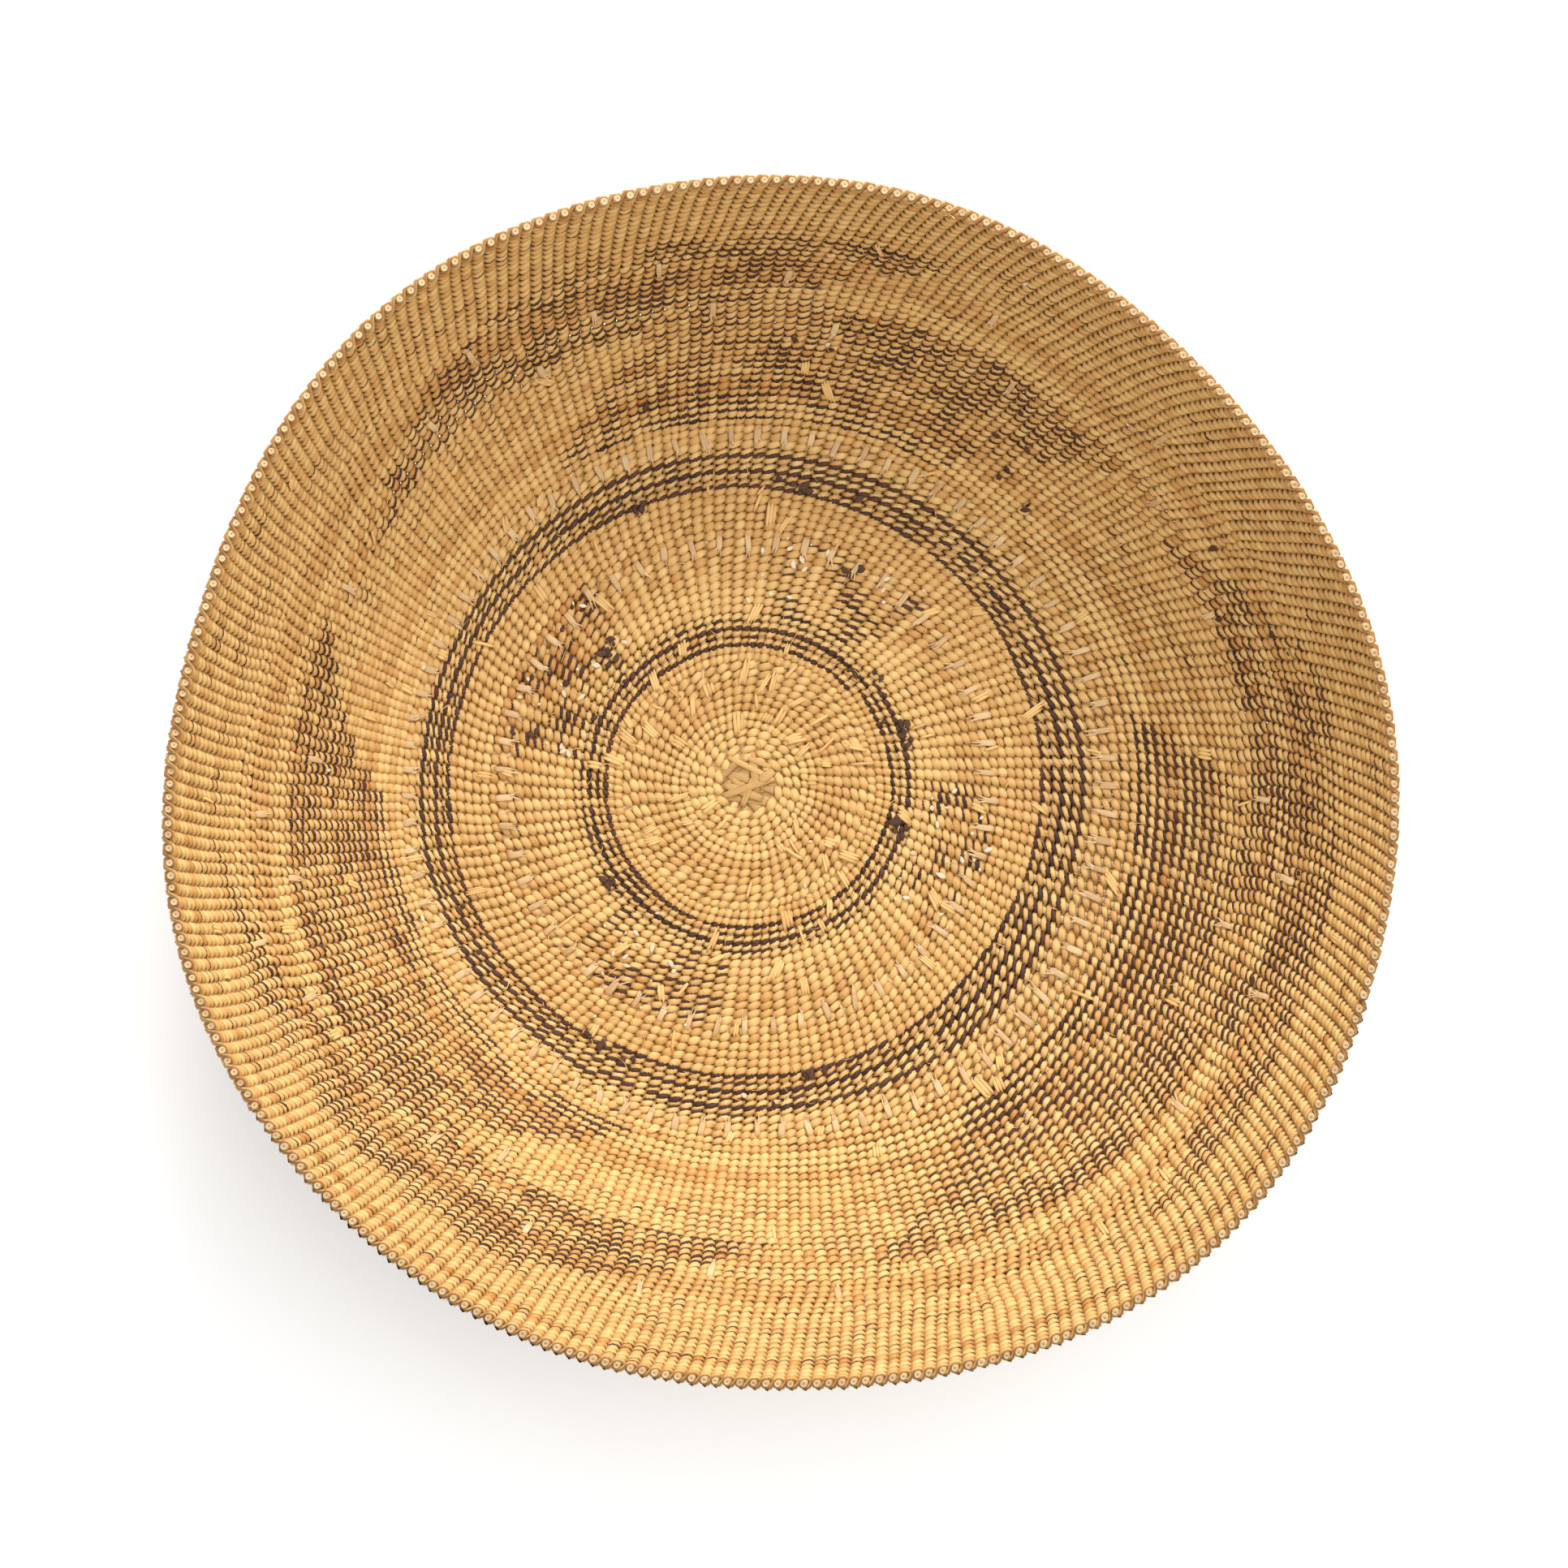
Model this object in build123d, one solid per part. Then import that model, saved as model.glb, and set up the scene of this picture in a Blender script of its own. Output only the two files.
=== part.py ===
from build123d import *
from math import atan2, cos, pi, radians, sin, tan
import os

# Plain-twined winnowing basket: a round, slightly lopsided bowl of peeled shoots (the warps) held
# between the two faces of a twined root weft, with thin overlay strips on the outside.
# Millimetres. Origin under the middle of the start, on the plane that the basket rests on. +Z up.
# Every layer is an offset of one middle surface, which runs through the centres of the shoots.

# ---- Overall form ----
RIM_RADIUS = 250.0  # mean outer radius of the mouth
RIM_HEIGHT = 120.0  # middle of the cut shoot ends above the ground
FLAT_RADIUS = 125.0  # flat part of the base, where the wall starts to rise
WALL_END_SLOPE = radians(67)  # slope of the wall where the rim starts
TIP_SLOPE = radians(100)  # slope at the shoot tips, a little past upright
RIM_BEND_RADIUS = 14.0  # the short inward bend at the rim

# The mouth is out of round: lobes per turn, height as a share of RIM_RADIUS, azimuth of a crest.
# The one-lobe line shifts the mouth sideways from the start.
LOBES = (
    (1, 0.057, radians(-10)),
    (2, 0.014, radians(-31)),
    (3, 0.014, radians(-25)),
    (4, 0.0045, radians(35)),
    (6, 0.006, radians(11)),
)

# ---- Fabric ----
SHOOT_DIAMETER = 2.6
WEFT_THICKNESS = 1.2
OVERLAY_THICKNESS = 0.3
LAYER_CLEARANCE = 0.1
BAND_GAP = 0.3
TIP_STANDOUT = 1.2  # shoot tips past the last weft row

# ---- Shoots: the first set, then each round of added shoots ----
SHOOTS_PER_FIRST = 5.4  # shoots at the rim for each one in the first set
SHOOT_GAP = 0.08  # least gap between neighbours where the wall starts
ENTRY_GAP = 0.425  # gap between neighbours where the first and second sets start
FOURTH_PLACE = 0.38  # places on the wall run 0..1 on its lower arc, 1..2 on its upper arc
RIM_ROUND_PLACE = 1.1
SPREAD_LENGTH = 7.0  # half the length over which old shoots move aside for new ones
SPREAD_BEND_RADIUS = 15.0
LEAST_BEND = 0.02  # degrees; a smaller turn is drawn straight

# ---- Start: two crossed sets of flat sticks inside the first weft rows ----
STICKS_PER_SET = 6
STICK_WIDTH = 2.9
STICK_PITCH = 3.3
START_OPEN_RADIUS = 9.0

# ---- Dark rings and motifs on the outside ----
INNER_RING = (0.48 * FLAT_RADIUS, 0.584 * FLAT_RADIUS)  # radii
MOTIF_RING = (0.64 * FLAT_RADIUS, 0.864 * FLAT_RADIUS)
OUTER_RING_TOP = 0.25
LOWER_MOTIF_FOOT, LOWER_MOTIF_TOP = 0.55, 1.14
UPPER_MOTIF_FOOT, UPPER_MOTIF_TOP = 1.2, 1.52
RIM_LINE = (1.66, 1.78)
RIM_START, BINDING_START = 2.0, 2.45
BASE_MOTIFS, BASE_MOTIF_WIDTH, BASE_MOTIF_TURN = 4, radians(36), radians(70)
WALL_MOTIFS, LOWER_MOTIF_WIDTH, LOWER_MOTIF_TURN = 3, radians(70), radians(81)
UPPER_MOTIF_WIDTH, UPPER_MOTIF_TURN = radians(55), radians(119)
RIM_BLOCK_WIDTH, RIM_BLOCK_TURN = radians(30), radians(121)
SECTOR_GAP = radians(0.2)

SECTIONS_PER_TURN = 36  # cross-sections that each wall band is drawn through
SECTIONS_PER_PATCH_TURN = 72
WEDGE_SIDES = 6  # straight sides of the wedge that cuts a flat ring into sectors

# ---- Worked out ----
TURN = 2 * pi
SHOOT_RADIUS = SHOOT_DIAMETER / 2
FIRST_COUNT = int(TURN * FLAT_RADIUS / (SHOOT_DIAMETER + SHOOT_GAP) / SHOOTS_PER_FIRST)
FIRST_RADIUS = FIRST_COUNT * (SHOOT_DIAMETER + ENTRY_GAP) / TURN
SECOND_RADIUS = 2 * FIRST_RADIUS
THIRD_RADIUS = 4 * FIRST_RADIUS
WEFT_NEAR = SHOOT_RADIUS + LAYER_CLEARANCE
WEFT_FAR = WEFT_NEAR + WEFT_THICKNESS
OVERLAY_NEAR = WEFT_FAR + LAYER_CLEARANCE
OVERLAY_FAR = OVERLAY_NEAR + OVERLAY_THICKNESS
MIDDLE_HEIGHT = OVERLAY_FAR  # so the overlay under the base lies on the ground
INSIDE = (WEFT_NEAR, WEFT_FAR)
OUTSIDE = (-WEFT_FAR, -WEFT_NEAR)
OVERLAY = (-OVERLAY_FAR, -OVERLAY_NEAR)
RIM_BEND_RISE = RIM_BEND_RADIUS * (cos(WALL_END_SLOPE) - cos(TIP_SLOPE))
RIM_BEND_REACH = RIM_BEND_RADIUS * (sin(TIP_SLOPE) - sin(WALL_END_SLOPE))
WALL_RISE = RIM_HEIGHT - MIDDLE_HEIGHT - RIM_BEND_RISE
WEFT_TOP_PLACE = 3.0 - TIP_STANDOUT / (RIM_BEND_RADIUS * (TIP_SLOPE - WALL_END_SLOPE))


def mouth_radius(turn):
    """Outer radius of the mouth about the start at one azimuth."""
    lobes = sum(share * cos(count * (turn - crest)) for count, share, crest in LOBES)
    return RIM_RADIUS * (1 + lobes)


def wall_arcs(turn):
    """Slope at the knee and radii of the two tangent arcs of the wall at one azimuth.

    The arcs meet where the wall is parallel to its own chord, which suits any height and width.
    """
    reach = mouth_radius(turn) - WEFT_FAR - RIM_BEND_REACH - FLAT_RADIUS
    knee = atan2(WALL_RISE, reach)
    low_reach, low_rise = sin(knee), 1 - cos(knee)
    high_reach = sin(WALL_END_SLOPE) - low_reach
    high_rise = cos(knee) - cos(WALL_END_SLOPE)
    scale = low_reach * high_rise - high_reach * low_rise
    low = (reach * high_rise - WALL_RISE * high_reach) / scale
    high = (low_reach * WALL_RISE - low_rise * reach) / scale
    return knee, low, high


def slope_at(turn, place):
    """Slope of the wall at a place: 0..1 lower arc, 1..2 upper arc, 2..3 rim bend."""
    knee = wall_arcs(turn)[0]
    marks = (0.0, knee, WALL_END_SLOPE, TIP_SLOPE)
    arc = min(int(place), 2)
    return marks[arc] + (marks[arc + 1] - marks[arc]) * (place - arc)


def middle_at(turn, slope):
    """Radius and height of the middle surface where the wall has a slope."""
    knee, low, high = wall_arcs(turn)
    first = min(slope, knee)
    second = min(max(slope, knee), WALL_END_SLOPE)
    third = max(slope, WALL_END_SLOPE)
    radius = FLAT_RADIUS + low * sin(first)
    height = MIDDLE_HEIGHT + low * (1 - cos(first))
    radius += high * (sin(second) - sin(knee)) + RIM_BEND_RADIUS * (sin(third) - sin(WALL_END_SLOPE))
    height += high * (cos(knee) - cos(second)) + RIM_BEND_RADIUS * (cos(WALL_END_SLOPE) - cos(third))
    return radius, height


def wall_point(turn, slope, offset=0.0):
    """Point on the wall, moved towards the inside of the bowl by an offset."""
    radius, height = middle_at(turn, slope)
    radius -= offset * sin(slope)
    return Vector(radius * cos(turn), radius * sin(turn), height + offset * cos(slope))


def wall_arc(turn, slope_from, slope_to, offset=0.0):
    """Arc of the wall between two slopes that lie on the same arc of the meridian."""
    slopes = (slope_from, (slope_from + slope_to) / 2, slope_to)
    return ThreePointArc(*(wall_point(turn, slope, offset) for slope in slopes))


def band_section(turn, places, layer):
    """Closed outline of a band: the layer between two places on one arc of the meridian."""
    _, low, high = wall_arcs(turn)
    bend = (low, high, RIM_BEND_RADIUS)[int(places[0])]
    foot = slope_at(turn, places[0])
    top = slope_at(turn, places[1]) - BAND_GAP / bend
    near, far = layer
    edges = [
        wall_arc(turn, foot, top, near),
        Line(wall_point(turn, top, near), wall_point(turn, top, far)),
        wall_arc(turn, top, foot, far),
        Line(wall_point(turn, foot, far), wall_point(turn, foot, near)),
    ]
    return Wire(edges)


def wall_band(places, layer):
    """Closed band of the wall, all the way around."""
    turns = [TURN * step / SECTIONS_PER_TURN for step in range(SECTIONS_PER_TURN)]
    sections = [band_section(turn, places, layer) for turn in turns]
    return Solid.make_loft(sections + sections[:1])


def wall_patch(places, layer, turn_from, turn_to):
    """Piece of a wall band between two azimuths."""
    width = turn_to - turn_from
    steps = round(width / TURN * SECTIONS_PER_PATCH_TURN)
    turns = [turn_from + width * step / steps for step in range(steps + 1)]
    return Solid.make_loft([band_section(turn, places, layer) for turn in turns])


def flat_band(radii, layer):
    """Flat ring of the base between two radii."""
    near, far = radii
    low, high = MIDDLE_HEIGHT + layer[0], MIDDLE_HEIGHT + layer[1]
    ring = Circle(far - BAND_GAP) - Circle(near)
    return extrude(Pos(0, 0, low) * ring, high - low)


def flat_patch(radii, layer, turn_from, turn_to):
    """Piece of a flat ring between two azimuths."""
    width = turn_to - turn_from
    reach = 2 * radii[1]
    corners = [(0, 0)]
    for side in range(WEDGE_SIDES + 1):
        turn = turn_from + width * side / WEDGE_SIDES
        corners.append((reach * cos(turn), reach * sin(turn)))
    wedge = extrude(make_face(Polyline(corners, close=True)), RIM_HEIGHT)
    return flat_band(radii, layer) & wedge


def sectors(count, width, first):
    """Azimuth ranges of the motifs and of the ground between them."""
    step = TURN / count
    motifs, grounds = [], []
    for index in range(count):
        middle = first + index * step
        motifs.append((middle - width / 2, middle + width / 2))
        grounds.append((middle + width / 2 + SECTOR_GAP, middle + step - width / 2 - SECTOR_GAP))
    return motifs, grounds


def shoot_orders():
    """Order of the shoots around the basket after each round, each shoot named by its round.

    Each round puts a new shoot after every first, second, second and then fifth shoot.
    """
    order = [("start", index) for index in range(FIRST_COUNT)]
    orders = [order]
    for name, every in (("second", 1), ("third", 2), ("fourth", 2), ("rim", 5)):
        widened = []
        for place, shoot in enumerate(order):
            widened.append(shoot)
            if place % every == 0:
                widened.append((name, place))
        order = widened
        orders.append(order)
    return orders


def even_turns(order):
    """Azimuth of each shoot when the whole round stands evenly."""
    return {shoot: TURN * place / len(order) for place, shoot in enumerate(order)}


def flat_point(radius, turn):
    """Point of the middle surface in the flat base."""
    return Vector(radius * cos(turn), radius * sin(turn), MIDDLE_HEIGHT)


def bent_line(points, radius):
    """Straight runs through level points, with a tangent arc at each corner that really turns."""
    kept = points[:1]
    for corner, after in zip(points[1:], points[2:]):
        if (corner - kept[-1]).get_angle(after - corner) > LEAST_BEND:
            kept.append(corner)
    kept.append(points[-1])
    edges, start = [], kept[0]
    for before, corner, after in zip(kept, kept[1:], kept[2:]):
        along = (corner - before).normalized()
        away = (after - corner).normalized()
        half_turn = radians(along.get_angle(away)) / 2
        cut = radius * tan(half_turn)
        middle = corner + (away - along).normalized() * (radius / cos(half_turn) - radius)
        edges.append(Line(start, corner - along * cut))
        edges.append(ThreePointArc(corner - along * cut, middle, corner + away * cut))
        start = corner + away * cut
    return edges + [Line(start, kept[-1])]


def shoot_path(shoot, turns_by_round):
    """Centre line of one shoot, from where it enters the fabric to its cut tip."""
    name = shoot[0]
    final = turns_by_round[-1][shoot]
    knee, _, _ = wall_arcs(final)
    edges = []
    places = {"fourth": FOURTH_PLACE, "rim": RIM_ROUND_PLACE}
    foot = slope_at(final, places.get(name, 0.0))
    if name in ("start", "second", "third"):
        radius = {"start": FIRST_RADIUS, "second": SECOND_RADIUS, "third": THIRD_RADIUS}[name]
        third = turns_by_round[2][shoot]
        points = [flat_point(radius, third)]
        if name != "third":
            second = turns_by_round[1][shoot]
            points = [flat_point(radius, second), flat_point(THIRD_RADIUS - SPREAD_LENGTH, second)]
        points.append(flat_point(THIRD_RADIUS + SPREAD_LENGTH / 2, third))
        points.append(flat_point(FLAT_RADIUS - SPREAD_LENGTH / 2, final))
        points.append(flat_point(FLAT_RADIUS, final))
        edges += bent_line(points, SPREAD_BEND_RADIUS)
    if foot < knee:
        edges.append(wall_arc(final, foot, knee))
        foot = knee
    edges.append(wall_arc(final, foot, WALL_END_SLOPE))
    edges.append(wall_arc(final, WALL_END_SLOPE, TIP_SLOPE))
    return Wire(edges)


def shoot_solid(shoot, turns_by_round):
    """One round shoot swept along its path."""
    path = shoot_path(shoot, turns_by_round)
    section = Plane(origin=path @ 0, z_dir=path % 0) * Circle(SHOOT_RADIUS)
    return sweep(section, path=path)


def crossed_sticks(level, angle):
    """One set of parallel flat sticks of the start, centred on a level."""
    thickness = SHOOT_RADIUS - LAYER_CLEARANCE
    reach = FIRST_RADIUS - BAND_GAP
    sticks = []
    for index in range(STICKS_PER_SET):
        side = (index - (STICKS_PER_SET - 1) / 2) * STICK_PITCH
        half = (reach**2 - (abs(side) + STICK_WIDTH / 2) ** 2) ** 0.5
        stick = Pos(0, side, level) * Box(2 * half, STICK_WIDTH, thickness)
        sticks.append(Rot(0, 0, angle) * stick)
    return sticks


def build_parts():
    """Every node of the basket by name, each a list of solids."""
    parts = {}
    half_level = SHOOT_RADIUS / 2
    parts["start_sticks_lower"] = crossed_sticks(MIDDLE_HEIGHT - half_level, 0)
    parts["start_sticks_upper"] = crossed_sticks(MIDDLE_HEIGHT + half_level, 90)

    orders = shoot_orders()
    turns_by_round = [even_turns(order) for order in orders]
    for name in ("start", "second", "third", "fourth", "rim"):
        shoots = [shoot for shoot in orders[-1] if shoot[0] == name]
        parts[f"warp_shoots_{name}"] = [shoot_solid(shoot, turns_by_round) for shoot in shoots]

    flat_zones = {
        "start": (START_OPEN_RADIUS, FIRST_RADIUS),
        "base_centre": (FIRST_RADIUS, INNER_RING[0]),
        "inner_ring": INNER_RING,
        "base_outer": (INNER_RING[1], FLAT_RADIUS),
    }
    wall_zones = {
        "outer_ring": (0.0, OUTER_RING_TOP),
        "lower_wall": (OUTER_RING_TOP, 1.0),
        "middle_wall": (1.0, UPPER_MOTIF_TOP),
        "upper_wall": (UPPER_MOTIF_TOP, RIM_START),
        "rim_rows": (RIM_START, BINDING_START),
        "rim_binding": (BINDING_START, WEFT_TOP_PLACE),
    }
    for face, layer in (("inside", INSIDE), ("outside", OUTSIDE)):
        for name, radii in flat_zones.items():
            parts[f"weft_{name}_{face}"] = [flat_band(radii, layer)]
        for name, places in wall_zones.items():
            parts[f"weft_{name}_{face}"] = [wall_band(places, layer)]

    parts["dark_overlay_inner_ring"] = [flat_band(INNER_RING, OVERLAY)]
    parts["dark_overlay_outer_ring"] = [wall_band((0.0, OUTER_RING_TOP), OVERLAY)]
    parts["dark_overlay_rim_line"] = [wall_band(RIM_LINE, OVERLAY)]
    parts["pale_overlay_base_inner"] = [flat_band((INNER_RING[1], MOTIF_RING[0]), OVERLAY)]
    parts["pale_overlay_base_outer"] = [flat_band((MOTIF_RING[1], FLAT_RADIUS), OVERLAY)]
    parts["pale_overlay_below_motifs"] = [wall_band((OUTER_RING_TOP, LOWER_MOTIF_FOOT), OVERLAY)]
    between = (LOWER_MOTIF_TOP, UPPER_MOTIF_FOOT)
    parts["pale_overlay_between_motifs"] = [wall_band(between, OVERLAY)]
    parts["pale_overlay_above_motifs"] = [wall_band((UPPER_MOTIF_TOP, RIM_LINE[0]), OVERLAY)]

    motifs, grounds = sectors(BASE_MOTIFS, BASE_MOTIF_WIDTH, BASE_MOTIF_TURN)
    parts["dark_overlay_base_motifs"] = [flat_patch(MOTIF_RING, OVERLAY, *ends) for ends in motifs]
    parts["pale_overlay_base_ground"] = [flat_patch(MOTIF_RING, OVERLAY, *ends) for ends in grounds]
    lower = ((LOWER_MOTIF_FOOT, 1.0), (1.0, LOWER_MOTIF_TOP))
    upper = ((UPPER_MOTIF_FOOT, UPPER_MOTIF_TOP),)
    rim = ((RIM_START, BINDING_START),)
    rows = (
        ("lower_motifs", "lower_ground", lower, LOWER_MOTIF_WIDTH, LOWER_MOTIF_TURN),
        ("upper_motifs", "upper_ground", upper, UPPER_MOTIF_WIDTH, UPPER_MOTIF_TURN),
        ("rim_blocks", "rim_ground", rim, RIM_BLOCK_WIDTH, RIM_BLOCK_TURN),
    )
    for dark, pale, bands, width, first in rows:
        motifs, grounds = sectors(WALL_MOTIFS, width, first)
        for name, ranges in ((f"dark_overlay_{dark}", motifs), (f"pale_overlay_{pale}", grounds)):
            parts[name] = [wall_patch(band, OVERLAY, *ends) for band in bands for ends in ranges]
    return parts


os.makedirs("parts", exist_ok=True)
for node, solids in build_parts().items():
    pieces = [solid for shape in solids for solid in shape.solids()]
    shape = pieces[0] if len(pieces) == 1 else Compound(children=pieces)
    export_step(shape, f"parts/{node}.step")
    print(node, len(pieces))
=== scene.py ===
"""Looks of the plain-twined winnowing basket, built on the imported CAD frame.

Lengths are metres and angles radians. Everything is laid out on one surface, the middle of the
basket's fabric, by azimuth (`turn`), distance from the start along the fabric (`along`) and
distance from that surface towards the inside of the bowl (`depth`).
"""

from __future__ import annotations

import logging
import math
from dataclasses import dataclass, field
from enum import Enum
from typing import Iterable, Sequence

import bpy
import numpy as np
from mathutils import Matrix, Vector

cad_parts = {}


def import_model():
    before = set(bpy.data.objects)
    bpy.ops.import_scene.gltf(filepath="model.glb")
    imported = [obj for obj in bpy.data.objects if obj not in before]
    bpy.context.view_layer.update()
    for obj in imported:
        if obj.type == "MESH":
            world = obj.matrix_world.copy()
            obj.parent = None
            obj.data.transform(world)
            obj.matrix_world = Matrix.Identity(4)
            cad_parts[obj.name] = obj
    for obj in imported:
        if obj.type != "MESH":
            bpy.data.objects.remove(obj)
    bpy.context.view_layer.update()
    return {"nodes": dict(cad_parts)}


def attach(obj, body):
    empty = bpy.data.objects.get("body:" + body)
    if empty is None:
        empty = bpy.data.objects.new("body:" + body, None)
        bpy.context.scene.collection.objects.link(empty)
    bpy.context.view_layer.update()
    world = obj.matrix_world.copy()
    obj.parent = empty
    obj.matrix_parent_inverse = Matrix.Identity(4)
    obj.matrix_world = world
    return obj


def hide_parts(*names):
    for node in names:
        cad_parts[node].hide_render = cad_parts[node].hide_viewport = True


LOG = logging.getLogger("basket")
MM = 0.001
TURN = 2 * math.pi
SEED = 20260611
GOLDEN = 0.6180339887
Array = np.ndarray
Wave = tuple[float, int, float, float]


class Slot(str, Enum):
    """Material slots of the record."""

    SHOOTS = "warp_shoots"
    STICKS = "start_sticks"
    ROOT = "root_weft"
    DARK = "dark_overlay"
    PALE = "pale_overlay"


def smooth(value: Array) -> Array:
    """Smooth step from 0 to 1.

    Args:
        value: where the step runs from 0 to 1.

    Returns:
        The eased value, clamped outside the step.
    """
    eased = np.clip(value, 0.0, 1.0)
    return eased * eased * (3 - 2 * eased)


def between(values: Array, start: float, end: float) -> Array:
    """Whether each value lies from a start to just short of an end."""
    return (values >= start) & (values < end)


def ripple(turn: Array, along: Array, waves: Sequence[Wave]) -> Array:
    """Sum of waves that run slantwise over the fabric.

    Args:
        turn: azimuth of each place.
        along: distance along the fabric of each place.
        waves: height, count around the basket, length along the fabric and offset of each wave.

    Returns:
        The sum at each place.
    """
    return sum(
        height * np.sin(count * turn + along / length + offset)
        for height, count, length, offset in waves
    )


def layered(grid: Array, *values: object) -> Array:
    """Values laid side by side on every point of a grid.

    Args:
        grid: the points.
        values: three numbers or arrays that spread over the grid without its coordinates.

    Returns:
        The values, shaped like the grid.
    """
    return np.stack([np.broadcast_to(value, grid.shape[:-1]) for value in values], axis=-1)


def tone_near(rng: np.random.Generator, middle: float, spread: float) -> float:
    """A random tone around a middle one, kept within 0 and 1."""
    return float(np.clip(rng.normal(middle, spread), 0, 1))


# ------------------------------------------------------------------------------------ form


@dataclass(frozen=True)
class BowlForm:
    """The middle surface of the fabric, with the CAD part's own dimensions.

    Only middle_height is a little more than there, so that the stitches rest on the ground.
    """

    rim_radius: float = 250 * MM
    rim_height: float = 120 * MM
    flat_radius: float = 125 * MM
    wall_end: float = math.radians(67)
    tip_slope: float = math.radians(100)
    bend_radius: float = 14 * MM
    middle_height: float = 3.3 * MM
    weft_far: float = 2.6 * MM
    lower_length: float = 65.6 * MM
    upper_length: float = 106.8 * MM
    lobes: tuple[tuple[int, float, float], ...] = (
        (1, 0.057, math.radians(-10)),
        (2, 0.014, math.radians(-31)),
        (3, 0.014, math.radians(-25)),
        (4, 0.0045, math.radians(35)),
        (6, 0.006, math.radians(11)),
    )
    bend_reach: float = 1.6
    lowest: float = 0.02 * MM
    swell_height: float = 0.35 * MM
    swell_waves: tuple[Wave, ...] = (
        (1.0, 5, 21 * MM, 0.0),
        (0.7, 9, -13 * MM, 2.0),
        (0.5, 14, 9 * MM, 4.0),
    )

    @property
    def bend_length(self) -> float:
        """Length of the short inward bend at the rim."""
        return self.bend_radius * (self.tip_slope - self.wall_end)

    @property
    def end(self) -> float:
        """Distance along the fabric from the start to the shoot tips."""
        return self.flat_radius + self.lower_length + self.upper_length + self.bend_length

    def along_at(self, place: float) -> float:
        """Distance along the fabric of a place on the wall.

        Args:
            place: 0 to 1 on the lower arc, 1 to 2 on the upper arc and 2 to 3 on the bend.

        Returns:
            The distance from the start.
        """
        lengths = (self.lower_length, self.upper_length, self.bend_length)
        arc = min(int(place), 2)
        return self.flat_radius + sum(lengths[:arc]) + lengths[arc] * (place - arc)

    def arcs(self, turn: Array) -> tuple[Array, Array, Array]:
        """Works out the wall's two arcs, whose sizes change around the basket.

        Args:
            turn: azimuths.

        Returns:
            The slope where the arcs meet and the radii of the lower and the upper arc.
        """
        lobes = sum(share * np.cos(count * (turn - crest)) for count, share, crest in self.lobes)
        bend = self.bend_radius
        rise = self.rim_height - self.middle_height
        rise -= bend * (math.cos(self.wall_end) - math.cos(self.tip_slope))
        reach = self.rim_radius * (1 + lobes) - self.weft_far - self.flat_radius
        reach = reach - bend * (math.sin(self.tip_slope) - math.sin(self.wall_end))
        knee = np.arctan2(rise, reach)
        low_reach, low_rise = np.sin(knee), 1 - np.cos(knee)
        high_reach = math.sin(self.wall_end) - low_reach
        high_rise = np.cos(knee) - math.cos(self.wall_end)
        scale = low_reach * high_rise - high_reach * low_rise
        low = (reach * high_rise - rise * high_reach) / scale
        high = (low_reach * rise - low_rise * reach) / scale
        return knee, low, high

    def frames(self, turn: Array, along: Array, depth: Array) -> tuple[Array, Array, Array, Array]:
        """Points of the fabric and the directions around, outwards and inwards there.

        Args:
            turn: azimuth of each point.
            along: distance along the fabric.
            depth: distance from the middle surface towards the inside of the bowl.

        Returns:
            Points, then unit vectors around the basket, out along the meridian and into the bowl.
        """
        turn, along, depth = np.broadcast_arrays(turn, along, depth)
        knee, low, high = self.arcs(turn)
        first = np.clip((along - self.flat_radius) / self.lower_length, 0, 1)
        second = (along - self.flat_radius - self.lower_length) / self.upper_length
        second = np.clip(second, 0, 1)
        third = (along - self.along_at(2.0)) / self.bend_length
        third = np.clip(third, 0, self.bend_reach)
        slope_low = knee * first
        slope_high = knee + (self.wall_end - knee) * second
        slope_end = self.wall_end + (self.tip_slope - self.wall_end) * third
        radius = np.minimum(along, self.flat_radius) + low * np.sin(slope_low)
        radius = radius + high * (np.sin(slope_high) - np.sin(knee))
        radius = radius + self.bend_radius * (np.sin(slope_end) - math.sin(self.wall_end))
        height = self.middle_height + low * (1 - np.cos(slope_low))
        height = height + high * (np.cos(knee) - np.cos(slope_high))
        height = height + self.bend_radius * (math.cos(self.wall_end) - np.cos(slope_end))
        slope = np.where(third > 0, slope_end, np.where(second > 0, slope_high, slope_low))
        cos_t, sin_t = np.cos(turn), np.sin(turn)
        cos_s, sin_s = np.cos(slope), np.sin(slope)
        inward = np.stack([-sin_s * cos_t, -sin_s * sin_t, cos_s], axis=-1)
        outward = np.stack([cos_s * cos_t, cos_s * sin_t, sin_s], axis=-1)
        around = np.stack([-sin_t, cos_t, np.zeros_like(turn)], axis=-1)
        swell = self.swell(turn, along)
        point = np.stack([radius * cos_t, radius * sin_t, height], axis=-1)
        point = point + inward * (depth + swell)[..., None]
        point[..., 2] = np.maximum(point[..., 2], self.lowest)
        return point, around, outward, inward

    def swell(self, turn: Array, along: Array) -> Array:
        """Slight hand-made unevenness of the wall, none on the base or at the rim.

        Args:
            turn: azimuth of each place.
            along: distance along the fabric of each place.

        Returns:
            How far the surface bulges inwards.
        """
        wall = smooth((along - self.flat_radius) / (40 * MM))
        wall = wall * smooth((self.end - along) / (30 * MM))
        return self.swell_height * wall * ripple(turn, along, self.swell_waves)

    def radius(self, along: Array) -> Array:
        """Mean radius of the surface at distances along the fabric.

        Args:
            along: distances along the fabric.

        Returns:
            The mean radii.
        """
        turns = np.linspace(0, TURN, 24, endpoint=False)
        along = np.atleast_1d(along)
        point = self.frames(turns[:, None], along[None, :], np.zeros(1))[0]
        return np.hypot(point[..., 0], point[..., 1]).mean(axis=0)


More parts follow.
